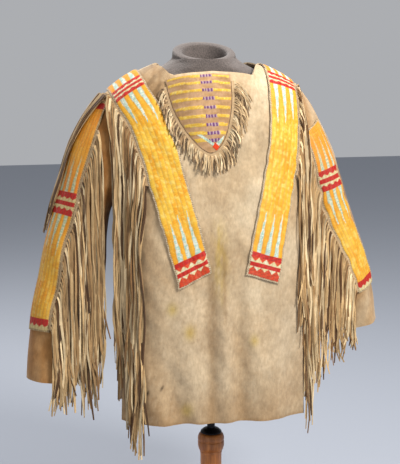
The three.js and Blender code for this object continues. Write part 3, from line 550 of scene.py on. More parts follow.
# ---- Materials ----
class Finish:
    """A material made of nodes. Each short method adds a node and gives the socket that it puts out."""

    def __init__(self, name, colour, roughness, metallic=0.0, **more):
        """More of the shader's inputs are named with _ for each space."""
        self.material = bpy.data.materials.new(name)
        self.material.use_nodes = True
        self.tree = self.material.node_tree
        self.tree.nodes.clear()
        self.shader = self.tree.nodes.new("ShaderNodeBsdfPrincipled")
        output = self.tree.nodes.new("ShaderNodeOutputMaterial")
        self.link(self.shader.outputs["BSDF"], output.inputs["Surface"])
        values = {"Base_Color": (*linear(colour), 1), "Roughness": roughness, "Metallic": metallic, **more}
        for key, value in values.items():
            self.shader.inputs[key.replace("_", " ")].default_value = value

    def link(self, a, b):
        self.tree.links.new(a, b)

    def make(self, kind, output, sockets, values, **settings):
        """A node with its settings, its inputs' values and what is linked to its inputs."""
        node = self.tree.nodes.new("ShaderNode" + kind)
        for key, value in settings.items():
            setattr(node, key, value)
        for key, value in values.items():
            node.inputs[key].default_value = value
        for key, socket in sockets.items():
            self.link(socket, node.inputs[key])
        return node.outputs[output]

    def attribute(self, name, output):
        return self.make("Attribute", output, {}, {}, attribute_name=name)

    def place(self):
        return self.make("TexCoord", "Object", {}, {})

    def noise(self, vector, scale, detail, roughness, stretch=None):
        """Noise, with each axis of its place scaled first where stretch is given."""
        if stretch:
            vector = self.make("Mapping", "Vector", {"Vector": vector}, {"Scale": stretch})
        return self.make("TexNoise", "Fac", {"Vector": vector},
                         {"Scale": scale, "Detail": detail, "Roughness": roughness})

    def ramp(self, value, low, high, *tones):
        """From one tone at low to another at high. A tone is a linear colour, or a number for a grey."""
        colour = self.make("ValToRGB", "Color", {"Fac": value}, {})
        for element, position, tone in zip(colour.node.color_ramp.elements, (low, high), tones):
            element.position = position
            element.color = (*np.broadcast_to(tone, 3), 1)
        return colour

    def multiply(self, a, b, amount=1.0):
        return self.make("Mix", "Result", {"A": a, "B": b}, {"Factor": amount},
                         data_type="RGBA", blend_type="MULTIPLY")

    def base(self, colour):
        self.link(colour, self.shader.inputs["Base Color"])

    def bump(self, height, strength, distance, under=None):
        sockets = {"Height": height} if under is None else {"Height": height, "Normal": under}
        normal = self.make("Bump", "Normal", sockets, {"Strength": strength, "Distance": distance})
        self.link(normal, self.shader.inputs["Normal"])
        return normal


def suede(name, roughness, fine, speckle):
    """Brain-tanned hide: a soft nap, cloudy colour and small specks of grime."""
    n = Finish(name, (0.78, 0.68, 0.52), roughness, Sheen_Weight=0.12, Sheen_Roughness=0.6,
               Specular_IOR_Level=0.2)
    place = n.place()
    tint = n.attribute("tint", "Color")
    cloudy = n.ramp(n.noise(place, 22, 5, 0.62), 0.3, 0.72, 0.86, 1.05)
    mottled = n.ramp(n.noise(place, 95, 4, 0.62, (1, 1, 0.7)), 0.34, 0.7, (0.80, 0.775, 0.74), 1.05)
    fibre = n.ramp(n.noise(place, 260, 3, 0.6, (1, 1, 0.45)), 0.3, 0.7, 0.82, 1.06)
    specks = n.ramp(n.noise(place, 170, 2, 0.5), 0.66, 0.74, 1, 1 - speckle)
    clouded = n.multiply(n.multiply(tint, cloudy), mottled, 0.8)
    n.base(n.multiply(clouded, n.multiply(fibre, specks), 0.85))
    coarse = n.bump(n.noise(place, 85, 5, 0.6), 0.35, 0.0016)
    n.bump(n.noise(place, fine, 2, 0.6), 0.3, 0.0005, coarse)
    return n.material


def quill(name):
    """Flattened porcupine quills, plaited across each lane: a fine cross grain with a low gloss."""
    n = Finish(name, (0.9, 0.7, 0.2), 0.5, Specular_IOR_Level=0.35)
    weave = n.attribute("weave", "Vector")
    tint = n.attribute("tint", "Color")
    streak = n.ramp(n.noise(weave, 1.0, 3, 0.6, (0.12, 0.55, 1)), 0.3, 0.72, 0.8, 1.1)
    n.base(n.multiply(tint, streak, 0.9))
    grain = n.make("TexWave", "Fac", {"Vector": weave},
                   {"Scale": 0.18, "Distortion": 2.2, "Detail": 2, "Detail Scale": 1.6},
                   wave_type="BANDS", bands_direction="Y")
    n.bump(grain, 0.45, 0.0006)
    return n.material


def knit():
    """The dress form's heathered grey cover."""
    n = Finish("form_knit", (0.43, 0.41, 0.42), 0.95, Sheen_Weight=0.2)
    place = n.place()
    heather = n.ramp(n.noise(place, 420, 4, 0.7), 0.32, 0.7, (0.075, 0.063, 0.057), (0.176, 0.141, 0.126))
    n.base(n.multiply(heather, n.ramp(n.noise(place, 22, 3, 0.5), 0.3, 0.7, 0.8, 1.05)))
    knitted = n.make("Mapping", "Vector", {"Vector": place}, {"Scale": (1, 1, 0.6)})
    n.bump(n.make("TexVoronoi", "Distance", {"Vector": knitted}, {"Scale": 420}), 0.6, 0.0012)
    return n.material


def iron():
    n = Finish("black_iron", (0.1, 0.1, 0.11), 0.38, 0.85)
    place = n.place()
    n.base(n.ramp(n.noise(place, 70, 5, 0.6), 0.4, 0.75, (0.006, 0.006, 0.008), (0.035, 0.033, 0.035)))
    n.bump(n.noise(place, 300, 4, 0.6), 0.25, 0.0006)
    return n.material


def turned_wood():
    """Lightly varnished wood, with a grain that runs up it."""
    n = Finish("stand_wood", (0.6, 0.36, 0.2), 0.42, Coat_Weight=0.08, Coat_Roughness=0.25)
    place = n.place()
    figure = n.noise(place, 1.6, 6, 0.62, (60, 60, 7))
    grain = n.ramp(figure, 0.28, 0.74, (0.21, 0.060, 0.010), (0.58, 0.21, 0.045))
    pores = n.ramp(n.noise(place, 1.2, 3, 0.6, (400, 400, 26)), 0.34, 0.6, 0.62, 1.05)
    n.base(n.multiply(grain, pores, 0.7))
    n.bump(n.noise(place, 1.0, 3, 0.5, (300, 300, 20)), 0.15, 0.0006)
    return n.material


HIDE_FINISH = suede("hide", 0.92, 900, 0.16)
FRINGE_FINISH = suede("fringe_hide", 0.9, 700, 0.1)
BIB_FINISH = suede("bib_hide", 0.9, 900, 0.12)
QUILL_FINISH = quill("quillwork")
KNIT_FINISH = knit()
IRON_FINISH = iron()
WOOD_FINISH = turned_wood()

# ---- Colours ----
CREAM = np.array((0.86, 0.78, 0.65))
TAN = np.array((0.74, 0.625, 0.475))
BROWN = np.array((0.56, 0.43, 0.28))
GREYED = np.array((0.72, 0.63, 0.51))
SMOKE_SHADE_BROWN = np.array((0.56, 0.365, 0.16))
STAIN = np.array((0.74, 0.62, 0.30))
YELLOW = np.array((0.92, 0.73, 0.24))
PALE_YELLOW = np.array((0.94, 0.84, 0.50))
DEEP_YELLOW = np.array((0.90, 0.61, 0.11))
ORANGE = np.array((0.92, 0.53, 0.10))
RED = np.array((0.80, 0.12, 0.07))
RED_ORANGE = np.array((0.87, 0.27, 0.11))
PALE_BLUE = np.array((0.62, 0.76, 0.70))
PALE = np.array((0.85, 0.86, 0.80))
PALE_GROUND = np.array((0.84, 0.77, 0.55))
PURPLE = np.array((0.42, 0.22, 0.45))
SINEW = np.array((0.88, 0.80, 0.66))


def mix(a, b, amount):
    """Colour a turned towards colour b by an amount for each point."""
    return a + (b - a) * np.clip(amount, 0, 1)[..., None]


def layered(colour, *layers):
    """A colour with layers of other colours over it, each with its amount for each point."""
    for tone, amount in layers:
        colour = mix(colour, tone, amount)
    return colour


# ---- The hides ----
STAIN_SPOTS = table(
    "x z size",
    (-108, 541, 9), (-73, 493, 10), (-78, 330, 10), (60, 470, 8))
TEARS = table(
    "x z",
    (-129, 378), (-159, 367))


def hem_grime(z):
    return smoothstep(z, HEM_Z + 9, HEM_Z)


def front_tint(p):
    """Cream in the middle, browner to the wearer's right and at the edges, with old stains, and with painted
    shade near the neck, in creases and along folds.
    """
    x, z = p[..., 0], p[..., 2]
    # Painted shadows of small diagonal creases.
    painted_crease_shadow = smoothstep(waves(((x - 0.8 * z) / 34, (x + z) / 150), 55), 0.5, 1.5)
    drips = bump(x + 0.02 * z, 2, 13) * smoothstep(z, 520, 620) * (1 - smoothstep(z, 660, 740))
    blotch = waves((x / 60, z / 130), 53) + 0.5 * waves((x / 17, z / 26), 54)
    spots = [(STAIN, 0.7 * np.exp(-(((x - at_x) / size) ** 2 + ((z - at_z) / size / 1.3) ** 2)))
             for at_x, at_z, size in zip(*STAIN_SPOTS.values())]
    tears = [(0.4 * BROWN, 0.8 * np.exp(-(((x - at_x - 0.5 * (z - at_z)) / 3) ** 2 + ((z - at_z) / 5) ** 2)))
             for at_x, at_z in zip(*TEARS.values())]
    return layered(
        CREAM + 0 * p,
        (TAN, 0.42 + 0.24 * waves((x / 240, z / 300), 51)),
        (GREYED, 0.6 * smoothstep(z, 780, 480) * (1 - 0.4 * bump(x, 45, 45))),
        (BROWN, 0.8 * smoothstep(x, -118, -190) * smoothstep(z, 300, 420)),
        (TAN, 0.5 * smoothstep(x, -60, -150)),
        # Browner near the neck on the wearer's right, partly painted shade.
        (BROWN, 0.6 * smoothstep(x, -85, -125) * smoothstep(z, 890, 980)),
        (BROWN, 0.3 * bump(x, 24, 34) * bump(z, 655, 70)),
        (BROWN, 0.3 * smoothstep(z, 390, 310)),
        (CREAM, 0.34 * bump(x, -98, 44) * bump(z, 475, 120) + 0.22 * bump(x, 50, 44) * bump(z, 480, 140)),
        # Painted crease shadows near the neck on the wearer's right.
        (0.8 * BROWN, 0.5 * painted_crease_shadow * smoothstep(x, -70, -110) * smoothstep(z, 900, 960)),
        (BROWN, 0.42 * smoothstep(z, 460, 320) * smoothstep(x, -20, -120)),
        (STAIN, 0.75 * drips * (0.7 + 0.3 * waves((x / 12, z / 60), 52))),
        (0.9 * BROWN, 0.6 * bump(x + 0.03 * (z - 600), -2, 5) * bump(z, 590, 60)),
        # Painted shade along two fold troughs near the middle.
        (BROWN, 0.45 * bump(x, -26, 10) * smoothstep(z, 700, 560)),
        (BROWN, 0.4 * bump(x, 34, 18) * smoothstep(z, 640, 420)),
        *spots,
        (BROWN, 0.12 * smoothstep(blotch, 0.1, 1.6)),
        (CREAM, 0.2 * smoothstep(-blotch, 0.1, 1.5)),
        (BROWN, 0.55 * hem_grime(z)),
        *tears)


def back_tint(p):
    x, z = p[..., 0], p[..., 2]
    blotch = waves((x / 60, z / 130), 62) + 0.5 * waves((x / 17, z / 26), 63)
    return layered(
        CREAM + 0 * p,
        (TAN, 0.55 + 0.3 * waves((x / 200, z / 260), 61)),
        (GREYED, 0.5 * smoothstep(z, 780, 480)),
        (BROWN, 0.2 * smoothstep(blotch, 0.0, 1.6)),
        (BROWN, 0.5 * hem_grime(z)))


def sleeve_tint(p, side):
    """Smoked brown, and paler at the cuff; on the right sleeve the full smoke brown is partly painted shade.
    The left sleeve is paler towards the shoulder too.
    """
    x, y, z = np.moveaxis(p, -1, 0)
    blotch = waves((x / 40, y / 40, z / 50), 73 + side)
    if side < 0:
        # The right sleeve's full smoke brown is partly painted shade.
        smoke_and_shade, cuff_z, cuff_tone, paler = 1.0, 470, TAN, 0.22
    else:
        smoke_and_shade, cuff_z, cuff_tone, paler = 0.6 - 0.45 * smoothstep(z, 760, 860), 500, CREAM, 0.5
    return layered(
        TAN + 0 * p,
        (SMOKE_SHADE_BROWN, smoke_and_shade + 0.2 * waves((x / 80, y / 80, z / 160), 71 + side)),
        (CREAM, 0.16 * smoothstep(blotch, 0.2, 1.4)),
        (cuff_tone, paler * smoothstep(z, cuff_z + 90, cuff_z - 20)))


def neck_cut(face, x):
    cut, start, end = NECKLINE[face]
    return 1 - cut * (1 - smoothstep(np.abs(x), start, end))


def hide_grid(face, cols, rows):
    edge = front_edge if face == FRONT else back_edge
    spread = np.radians(72)
    u = np.linspace(0, 1, cols + 1)
    share = ((1 + np.sin((2 * u - 1) * spread) / np.sin(spread)) / 2)[None, :]
    k = (1 - (1 - np.linspace(0, 1, rows + 1)) ** 1.2)[:, None]
    top_x = lerp(-edge["right"](1.0), edge["left"](1.0), share)
    v = k * neck_cut(face, top_x)
    x = lerp(-edge["right"](v), edge["left"](v), share)
    grid = hide_point(face, x, v)
    hem = (1 - smoothstep(v, 0, 0.05)) * 1.6 * waves((x / 90,), 81 + face)
    grid[..., 2] += np.maximum(hem, 0)
    return grid


def add_hides():
    made = {}
    for name, face, paint in (("front_hide", FRONT, front_tint), ("back_hide", BACK, back_tint)):
        grid = hide_grid(face, 160, 248)
        made[name] = grid, shell(grid, HIDE, WAIST), paint(grid)
    for name, surface, side in (("right_sleeve", right_sleeve, -1), ("left_sleeve", left_sleeve, 1)):
        s, angle = np.meshgrid(np.linspace(0, 1, 181), np.arange(120) * 3, indexing="ij")
        grid = surface(s, side * angle)
        made[name] = grid, shell(grid, HIDE, grid.mean(1, keepdims=True), closed=True), sleeve_tint(grid, side)
    for name, (grid, (points, faces, source), tint) in made.items():
        skin = make_mesh(name + "_skin", points, faces, HIDE_FINISH, tint.reshape(-1, 3)[source])
        made[name] = stand_in(skin, name)
    return made


# ---- Quillwork ----
LANES = 7
EDGE = 3.4                   # the tan hide edge beside the quills
GRID_STEP = 1.25


class Quillwork:
    """Colours and relief painted over a band's grid, worked out from across and along in millimetres."""

    def __init__(self, across, along, half_width, length, seed):
        self.across, self.along = np.meshgrid(across, along)
        self.half, self.length, self.seed = half_width, length, seed
        self.lane_width = 2 * (half_width - EDGE) / LANES
        position = (self.across + half_width - EDGE) / self.lane_width
        self.lane = np.clip(np.floor(position), 0, LANES - 1)
        self.phase = position - self.lane
        self.height = np.zeros(self.across.shape)
        tone = waves((self.lane * 0.37, self.along / 130), seed)
        fine = waves((self.lane * 0.61, self.along / 9), seed + 1)
        worn = waves((self.across / 16, self.along / 22), seed + 2)
        self.colour = layered(
            np.zeros(self.across.shape + (3,)) + YELLOW,
            (DEEP_YELLOW, 0.32 + 0.3 * tone + 0.2 * fine),
            (PALE_YELLOW, 0.55 * smoothstep(worn, 0.2, 1.3)))

    def paint(self, mask, colour, amount=1.0):
        self.colour = mix(self.colour, colour, mask * amount)

    def fill(self, inside, tone, other, amounts, grain, seed):
        """Colours a shape with one tone, in streaks that turn it towards another."""
        shade = waves((self.across / grain[0], self.along / grain[1]), self.seed + seed)
        own = mix(tone + 0 * self.colour, other, amounts[0] + amounts[1] * shade)
        self.colour = np.where(inside[..., None], own, self.colour)

    def spikes(self, base, length, direction, backing=DEEP_YELLOW):
        """Three tapering spikes, in the second, fourth and sixth lanes, on a deeper ground."""
        d = (self.along - base) * direction
        near = (d > 0) & (d < length * 1.25)
        self.paint(near * (1 - smoothstep(d, 0, length * 1.25)), backing, 0.7)
        draw = np.random.default_rng(self.seed + int(base))
        for lane in (1, 3, 5):
            own = length * (1 + 0.1 * draw.uniform(-1, 1))
            centre = (lane + 0.5 + 0.12 * draw.uniform(-1, 1)) * self.lane_width - self.half + EDGE
            half = 0.56 * self.lane_width * np.maximum(0, 1 - d / own) ** 0.8
            inside = (d > 0) & (np.abs(self.across - centre) < half)
            self.fill(inside, PALE_BLUE, PALE, (0.5, 0.6), (9, 7), 20 + lane)

    def bar(self, start, end, colour=RED, teeth=0, tooth=0.0, towards=1):
        """A bar across the band. With teeth, triangles stand on one of its edges."""
        inside = (self.along >= start) & (self.along < end)
        if teeth:
            pitch = 2 * (self.half - EDGE) / teeth
            wave = np.abs(np.mod((self.across + self.half - EDGE) / pitch, 1) - 0.5) * 2
            reach = tooth * (1 - wave)
            if towards > 0:
                inside |= (self.along >= end - 0.01) & (self.along < end + reach)
            else:
                inside |= (self.along < start) & (self.along >= start - reach)
        self.fill(inside, colour, colour * 0.72, (0.3, 0.3), (5, 6), 40)

    def ground(self, start, end):
        inside = (self.along >= start) & (self.along < end)
        self.fill(inside, PALE_GROUND, PALE, (0.2, 0.4), (6, 5), 50)

    def finish(self):
        """Grooves between the lanes, darkened with painted shade, and the hide edge with its stitches, darker
        partly as painted shadow.
        """
        border = np.minimum(self.phase, 1 - self.phase) * self.lane_width
        groove_shade = np.exp(-((border / 0.9) ** 2))
        self.height += 0.55 * np.sqrt(np.clip(border / (0.5 * self.lane_width), 0, 1)) - 0.15
        # Painted shade in the grooves between the lanes.
        self.paint(groove_shade, BROWN * 1.15, 0.34)
        from_edge = self.half - np.abs(self.across)
        end = np.minimum(self.along, self.length - self.along)
        rim = np.minimum(from_edge, end)
        hide = rim < EDGE
        stitch = 0.5 + 0.5 * np.sin(2 * np.pi * (self.along + self.across) / 4.6)
        # The hide edge's dark tan is partly painted shadow.
        edge_and_shadow_colour = mix(TAN * 0.74 + 0 * self.colour, SINEW * 0.98, smoothstep(stitch, 0.45, 0.8))
        self.colour = np.where(hide[..., None], edge_and_shadow_colour, self.colour)
        self.height = np.where(hide, -0.5 + 0.45 * smoothstep(stitch, 0.45, 0.8) * (rim < 2.4), self.height)


# The depths of a shoulder strip's end: the base of its teeth, the teeth, a bar, a row of teeth and a last bar.
END_BASE, END_TEETH, END_BAR, END_ROW, END_LAST = 10.5, 8.2, 8.8, 9.8, 10.0


def paint_end(work, start, way):
    """The bars and triangles at a shoulder strip's end, from its hide edge inwards.

    Returns the last bar's edge.
    """
    def between(a, b):
        return sorted((start + way * a, start + way * b))

    work.ground(*between(0, END_BASE + END_TEETH + END_BAR + END_ROW + END_LAST))
    edge = EDGE + END_BASE
    work.bar(*between(EDGE, edge), RED_ORANGE * 0.96, teeth=4, tooth=END_TEETH, towards=way)
    first = edge + END_TEETH
    work.bar(*between(first, first + END_BAR))
    second = first + END_BAR + END_ROW
    work.bar(*between(second, second + END_LAST))
    work.bar(*between(second - 0.2, second), RED_ORANGE, teeth=4, tooth=END_ROW * 0.85, towards=-way)
    return start + way * (second + END_LAST)


def paint_group(work, middle, bar, gap):
    """Three red bars with pale gaps that hold small triangles, about one middle place."""
    half = 1.5 * bar + gap
    work.ground(middle - half, middle + half)
    work.bar(middle - bar / 2, middle + bar / 2)
    work.bar(middle - half, middle - half + bar, teeth=4, tooth=gap * 0.55)
    work.bar(middle + half - bar, middle + half, teeth=4, tooth=gap * 0.55, towards=-1)
    return middle - half, middle + half


def shoulder_design(work, crest):
    """Bars at both ends and just in front of the crest, with spikes that point away from them."""
    end_spike, low_spike, high_spike = 88, 76, 70
    work.spikes(paint_end(work, 0, 1), end_spike, 1)
    work.spikes(paint_end(work, work.length, -1), end_spike, -1)
    low, high = paint_group(work, crest, bar=6.3, gap=5.2)
    work.spikes(low, low_spike, -1)
    work.spikes(high, high_spike, 1, ORANGE)


def sleeve_design(work, middle, top_bar=True):
    """A group of bars with spikes both ways, and a bar at the lower end and perhaps at the upper one."""
    spike = 82
    low, high = paint_group(work, middle, bar=9.6, gap=8.4)
    work.spikes(low, spike, -1, ORANGE)
    work.spikes(high, spike, 1)
    work.paint(smoothstep(work.along, middle, 0) * (work.along < low), ORANGE, 0.5)
    if top_bar:
        work.ground(EDGE, EDGE + 9)
        work.bar(EDGE + 4, EDGE + 15, teeth=3, tooth=4, towards=-1)
    end = work.length - EDGE
    work.ground(end - 12, end)
    work.bar(end - 22, end - 11, teeth=4, tooth=5)


def add_strip(name, node, band, inside, design, middle, seed, painted_shade=(1, 1, 1)):
    """One quilled strip. The design is painted about a middle place along it, and the last argument darkens
    its colours as painted shade.
    """
    half = band.half_width
    cols = int(round(2 * half / GRID_STEP / 4)) * 4
    rows = int(round(band.length / GRID_STEP / 4)) * 4
    across = np.linspace(-half, half, cols + 1)
    along = np.linspace(0, band.length, rows + 1)
    work = Quillwork(across, along, half, band.length, seed)
    design(work, middle)
    work.finish()
    grid = band.at(across, along, LIFT + BAND + work.height)
    points, faces, source = shell(grid, BAND, inside)
    weave = np.stack([work.across, work.along, work.lane * 7], -1).reshape(-1, 3)[source]
    # the colours darkened by the painted shade
    tint = (work.colour * painted_shade).reshape(-1, 3)[source]
    strip = make_mesh(name, points, faces, QUILL_FINISH, tint, weave)
    return stand_in(strip, node), (2 * half * MM, band.length * MM)


bands = {
    "right_shoulder": shoulder_band(RIGHT_STRIP),
    "left_shoulder": shoulder_band(LEFT_STRIP),
    "right_sleeve": sleeve_band(right_sleeve, -1, RIGHT_SLEEVE_STRIP),
    "left_sleeve": sleeve_band(left_sleeve, 1, LEFT_SLEEVE_STRIP),
}
SHOULDER_GROUP_V = 0.91      # the bars near the crest, as v over the shoulder
SLEEVE_GROUP_SHARE = {"right_sleeve": 0.455, "left_sleeve": 0.31}
SLEEVE_DESIGN = {"right_sleeve": sleeve_design,
                 "left_sleeve": lambda work, middle: sleeve_design(work, middle, top_bar=False)}
# Painted shade over each sleeve's strip, darkest on the right sleeve.
SLEEVE_PAINTED_SHADE = {"right_sleeve": (0.84, 0.79, 0.68), "left_sleeve": (0.97, 0.95, 0.9)}


def add_strips():
    """The four strips, each with its flat width and length."""
    made = {}
    for n, (side, rows) in enumerate((("right_shoulder", RIGHT_STRIP), ("left_shoulder", LEFT_STRIP))):
        band = bands[side]
        k = (SHOULDER_GROUP_V - rows["v"][0]) / (rows["v"][-1] - rows["v"][0])
        crest = np.interp(k, band.k, band.lengths)
        made[side + "_strip"] = add_strip(
            side + "_quillwork", side + "_strip", band, CHEST, shoulder_design, crest, 100 + 10 * n)
    for n, (side, surface) in enumerate((("right_sleeve", right_sleeve), ("left_sleeve", left_sleeve))):
        band = bands[side]
        inside = surface(np.linspace(0, 1, 9)[:, None], np.arange(0, 360, 30)[None, :])
        made[side + "_strip"] = add_strip(
            side + "_quillwork", side + "_strip", band, inside.reshape(-1, 3).mean(0), SLEEVE_DESIGN[side],
            band.length * SLEEVE_GROUP_SHARE[side], 140 + 10 * n, SLEEVE_PAINTED_SHADE[side])
    return made


# ---- The bib ----
def bib_edge(turn):
    """Round the U-shaped edge: turn 0 is the top corner on the wearer's right, 90 the tip."""
    c = np.cos(np.radians(turn))
    across = -np.sign(c) * BIB_HALF * np.abs(c) ** BIB_WIDEN
    return across, BIB_DOWN * np.sin(np.radians(turn)) ** BIB_FALL


def bib_place(across, down):
    sway = BIB_SWAY * (down / BIB_DOWN) ** 2
    return BIB_X + across + sway, BIB_TOP_V - down * BIB_V_PER_MM


BIB_LINES = np.array((5, 22, 40, 58, 76, 93, 109, 124, 137))   # millimetres down from the neck
BIB_LINE_HALF = 3.0
BIB_LINE_SLOPE = 0.03
BIB_GROUND = np.array((0.75, 0.60, 0.45))
BLOCK_PALE = np.array((0.80, 0.72, 0.70))
TIP_X = 11                   # the V and the diamond at the bib's tip are this far off its middle


def bib_colours(across, down):
    """Nine yellow quilled lines with purple blocks, over a pale V and a red diamond, with painted shade
    towards the wearer's right.
    """
    colour = mix(BIB_GROUND + np.zeros(across.shape + (3,)), BROWN * 1.2,
                 0.35 + 0.35 * waves((across / 22, down / 12), 91))
    height = np.zeros(across.shape)
    half = BIB_HALF * np.maximum(0, 1 - (down / BIB_DOWN) ** (2 / BIB_FALL)) ** (BIB_WIDEN / 2)
    from_blocks = across - (15 - 0.03 * down)

    def lay(inside, own, rise):
        nonlocal colour, height
        colour = np.where(inside[..., None], own, colour)
        height = np.where(inside, rise, height)

    for n, at in enumerate(BIB_LINES):
        inside = (np.abs(down - at - BIB_LINE_SLOPE * across) < BIB_LINE_HALF) & (np.abs(across) < half - 2)
        shade = waves((across / 7, down / 3), 92 + n)
        line = mix(YELLOW + 0 * colour, PALE_YELLOW, 0.15 + 0.4 * shade)
        checks = np.mod(from_blocks, 6) < 3.6
        purple = mix(PURPLE + 0 * colour, BLOCK_PALE, np.where(checks, 0.1, 0.85))
        line = np.where((np.abs(from_blocks) < 12)[..., None], purple, line)
        lay(inside, line * 0.95, 0.7)
    v_line = BIB_DOWN - 12 - 0.75 * np.abs(across - TIP_X)
    inside = (np.abs(down - v_line) < 3.4) & (np.abs(across) < half - 3) & (down > 126)
    lay(inside, mix(PALE_BLUE + 0 * colour, PALE, 0.5 + 0.5 * waves((across / 5, down / 5), 99)), 0.6)
    from_tip = np.abs(across - TIP_X) + np.abs(down - (BIB_DOWN - 11)) * 0.9
    lay(from_tip < 7, RED_ORANGE + 0 * colour, 0.8)
    # Painted shade: the bib darkens towards the wearer's right.
    painted_shade = lerp(0.86, 1, smoothstep(across, -42, 12))
    return colour * painted_shade[..., None], height


def add_bib():
    rows, cols = 128, 96
    width, down = bib_edge(np.linspace(0, 84, rows + 1))
    across = width[:, None] * (1 - 2 * np.linspace(0, 1, cols + 1)[None, :])
    down = down[:, None] + 0 * across
    colour, height = bib_colours(across, down)
    x, v = bib_place(across, down)
    normal = normal_at(over_shoulder, x, v, 1, 0.004)
    grid = over_shoulder(x, v) + normal * (LIFT + BAND + height - 0.3)[..., None]
    points, faces, source = shell(grid, BAND, THROAT)
    bib = make_mesh("bib_flap", points, faces, BIB_FINISH, colour.reshape(-1, 3)[source])
    return stand_in(bib, "bib")


# ---- Fringes ----
STRAND_TINTS = np.array([(0.88, 0.78, 0.61), (0.79, 0.66, 0.47), (0.68, 0.54, 0.36), (0.53, 0.39, 0.24),
                         (0.34, 0.23, 0.13)])
STRAND_SHARES = (0.24, 0.27, 0.22, 0.15, 0.12)
CELL = 4.0                   # the depth map's cell
ROOT_OUT, ROOT_LIFT = 5.8, 0.9   # where a strand leaves, beyond a strip's edge and above the hide
BACKING_OUT = 6.2            # the middle of the backing that the strands are cut from
LAYERS = 3                   # strands lie over each other in this many layers
ROOT_FORWARD = 1.2           # a strand starts this far in front of its root
SLOPE_LIMIT = 0.5            # how fast a falling strand may come forward


class Cloth:
    """How far forward the cloth stands at each x and z, seen from the front."""

    def __init__(self, *surfaces):
        points = np.concatenate([s.reshape(-1, 3) for s in surfaces])
        self.low = points[:, [0, 2]].min(0) - 3 * CELL
        size = np.ceil((points[:, [0, 2]].max(0) + 3 * CELL - self.low) / CELL).astype(int) + 1
        depth = np.full(size, np.inf)
        cell = ((points[:, [0, 2]] - self.low) / CELL).astype(int)
        np.minimum.at(depth, (cell[:, 0], cell[:, 1]), points[:, 1])
        wide = depth.copy()
        for dx in (-1, 0, 1):
            for dz in (-1, 0, 1):
                wide = np.minimum(wide, np.roll(depth, (dx, dz), (0, 1)))
        self.depth = wide

    def front(self, x, z):
        cell = ((np.stack([x, z], -1) - self.low) / CELL).astype(int)
        size = np.array(self.depth.shape)
        safe = np.clip(cell, 0, size - 1)
        value = self.depth[safe[..., 0], safe[..., 1]]
        return np.where(((cell >= 0) & (cell < size)).all(-1), value, np.inf)


def hang(start, leave, length, cloth, draw, clearance, sway, drift):
    """The path of a strand that leaves its root, falls, and rests on the cloth in front of it.

    drift is how far sideways it has slid once it has fallen 160 mm.
    """
    drop = length * np.linspace(0, 1, 22) ** 1.15
    free = 1 - np.exp(-drop / 7)
    wave_x = sway * np.sin(drop / draw.uniform(22, 60) + draw.uniform(0, 6.3)) * np.minimum(drop / 60, 1)
    wave_x += draw.uniform(-1, 1) * sway * (drop / max(length, 1)) ** 2 * 2
    wave_x += draw.normal() * 6 * np.maximum(0, drop / length - 0.82) / 0.18
    x = start[0] + leave[0] * 5 * free + wave_x + drift * smoothstep(drop, 0, 160)
    z = start[2] + leave[2] * 3 * free - drop
    root_y = start[1] - ROOT_FORWARD
    need = np.where(drop < 4, root_y, cloth.front(x, z) - clearance)
    near = np.abs(drop[:, None] - drop[None, :])
    need = np.min(need[None, :] + SLOPE_LIMIT * near, axis=1)
    y = np.minimum.accumulate(np.minimum(need, root_y))
    y = y - 1.2 * (1 + np.sin(drop / draw.uniform(14, 40) + draw.uniform(0, 6.3))) * np.minimum(drop / 40, 1)
    return np.stack([x, y, z], -1)


def sway_along(k, draw, fewest, most):
    """A slow wave along a strand, with a number of radians drawn between two limits."""
    return np.sin(k * draw.uniform(fewest, most) + draw.uniform(0, 6.3))


def strand_tint(draw):
    return STRAND_TINTS[draw.choice(len(STRAND_TINTS), p=STRAND_SHARES)]


def add_strand(ribbons, path, draw, width, thick, tint):
    """A flat, lightly twisted strand along a path, facing forward."""
    n = len(path)
    forward = unit(np.gradient(path, axis=0))
    out = np.array([0.0, -1.0, 0.0])
    sideways = unit(np.cross(np.broadcast_to(out, path.shape), forward))
    k = np.linspace(0, 1, n)
    twist = draw.normal(0, 0.35) + 0.5 * draw.normal() * sway_along(k, draw, 2, 9)
    outwards = unit(np.cross(forward, sideways))
    turned = sideways * np.cos(twist)[:, None] + outwards * np.sin(twist)[:, None]
    facing = unit(np.cross(forward, turned))
    shade = 1 + 0.09 * sway_along(k, draw, 3, 14) + 0.05 * draw.normal()
    half = width / 2 * (1 + 0.18 * sway_along(k, draw, 4, 12))
    half *= np.where(k > 0.9, 1 - 0.45 * (k - 0.9) / 0.1, 1)
    ribbons.add(path, turned, facing, half, thick / 2, tint * shade[:, None])


def add_backing(ribbons, points, leave, out, tint):
    ribbons.add(points - leave * 2.5 + out * 0.9, leave, out, 2.5, 0.8, tint)


# Each long fringe: the side of its strip, the share of the strip that it runs along, its strands and their
# widths, the shortest as a share of the full length, how far they slide sideways, and the lengths along it.
FRINGES = {
    "right_sleeve": dict(
        sign=-1, share=(0.13, 0.99), strands=122, width=(3.0, 4.8), shorter=0.78, shade=0.9, drift=(0, 0),
        lengths=((0, 500), (0.1, 500), (0.25, 460), (0.46, 365), (0.67, 270), (1, 170))),
    "left_sleeve": dict(
        sign=1, share=(0.05, 0.99), strands=124, width=(2.8, 4.6), shorter=0.78, shade=1.0, drift=(0, 0),
        lengths=((0, 590), (0.1, 560), (0.35, 420), (0.65, 250), (1, 120))),
    "right_shoulder": dict(
        sign=-1, share=(0.555, 0.26), strands=84, width=(3.0, 5.0), shorter=0.78, shade=0.94, drift=(9, -8),
        lengths=((0, 590), (0.5, 620), (0.8, 575), (1, 520))),
    "left_shoulder": dict(
        sign=1, share=(0.53, 0.27), strands=38, width=(2.8, 4.4), shorter=0.75, shade=1.0, drift=(9, 0),
        lengths=((0, 430), (0.5, 440), (1, 330))),
}


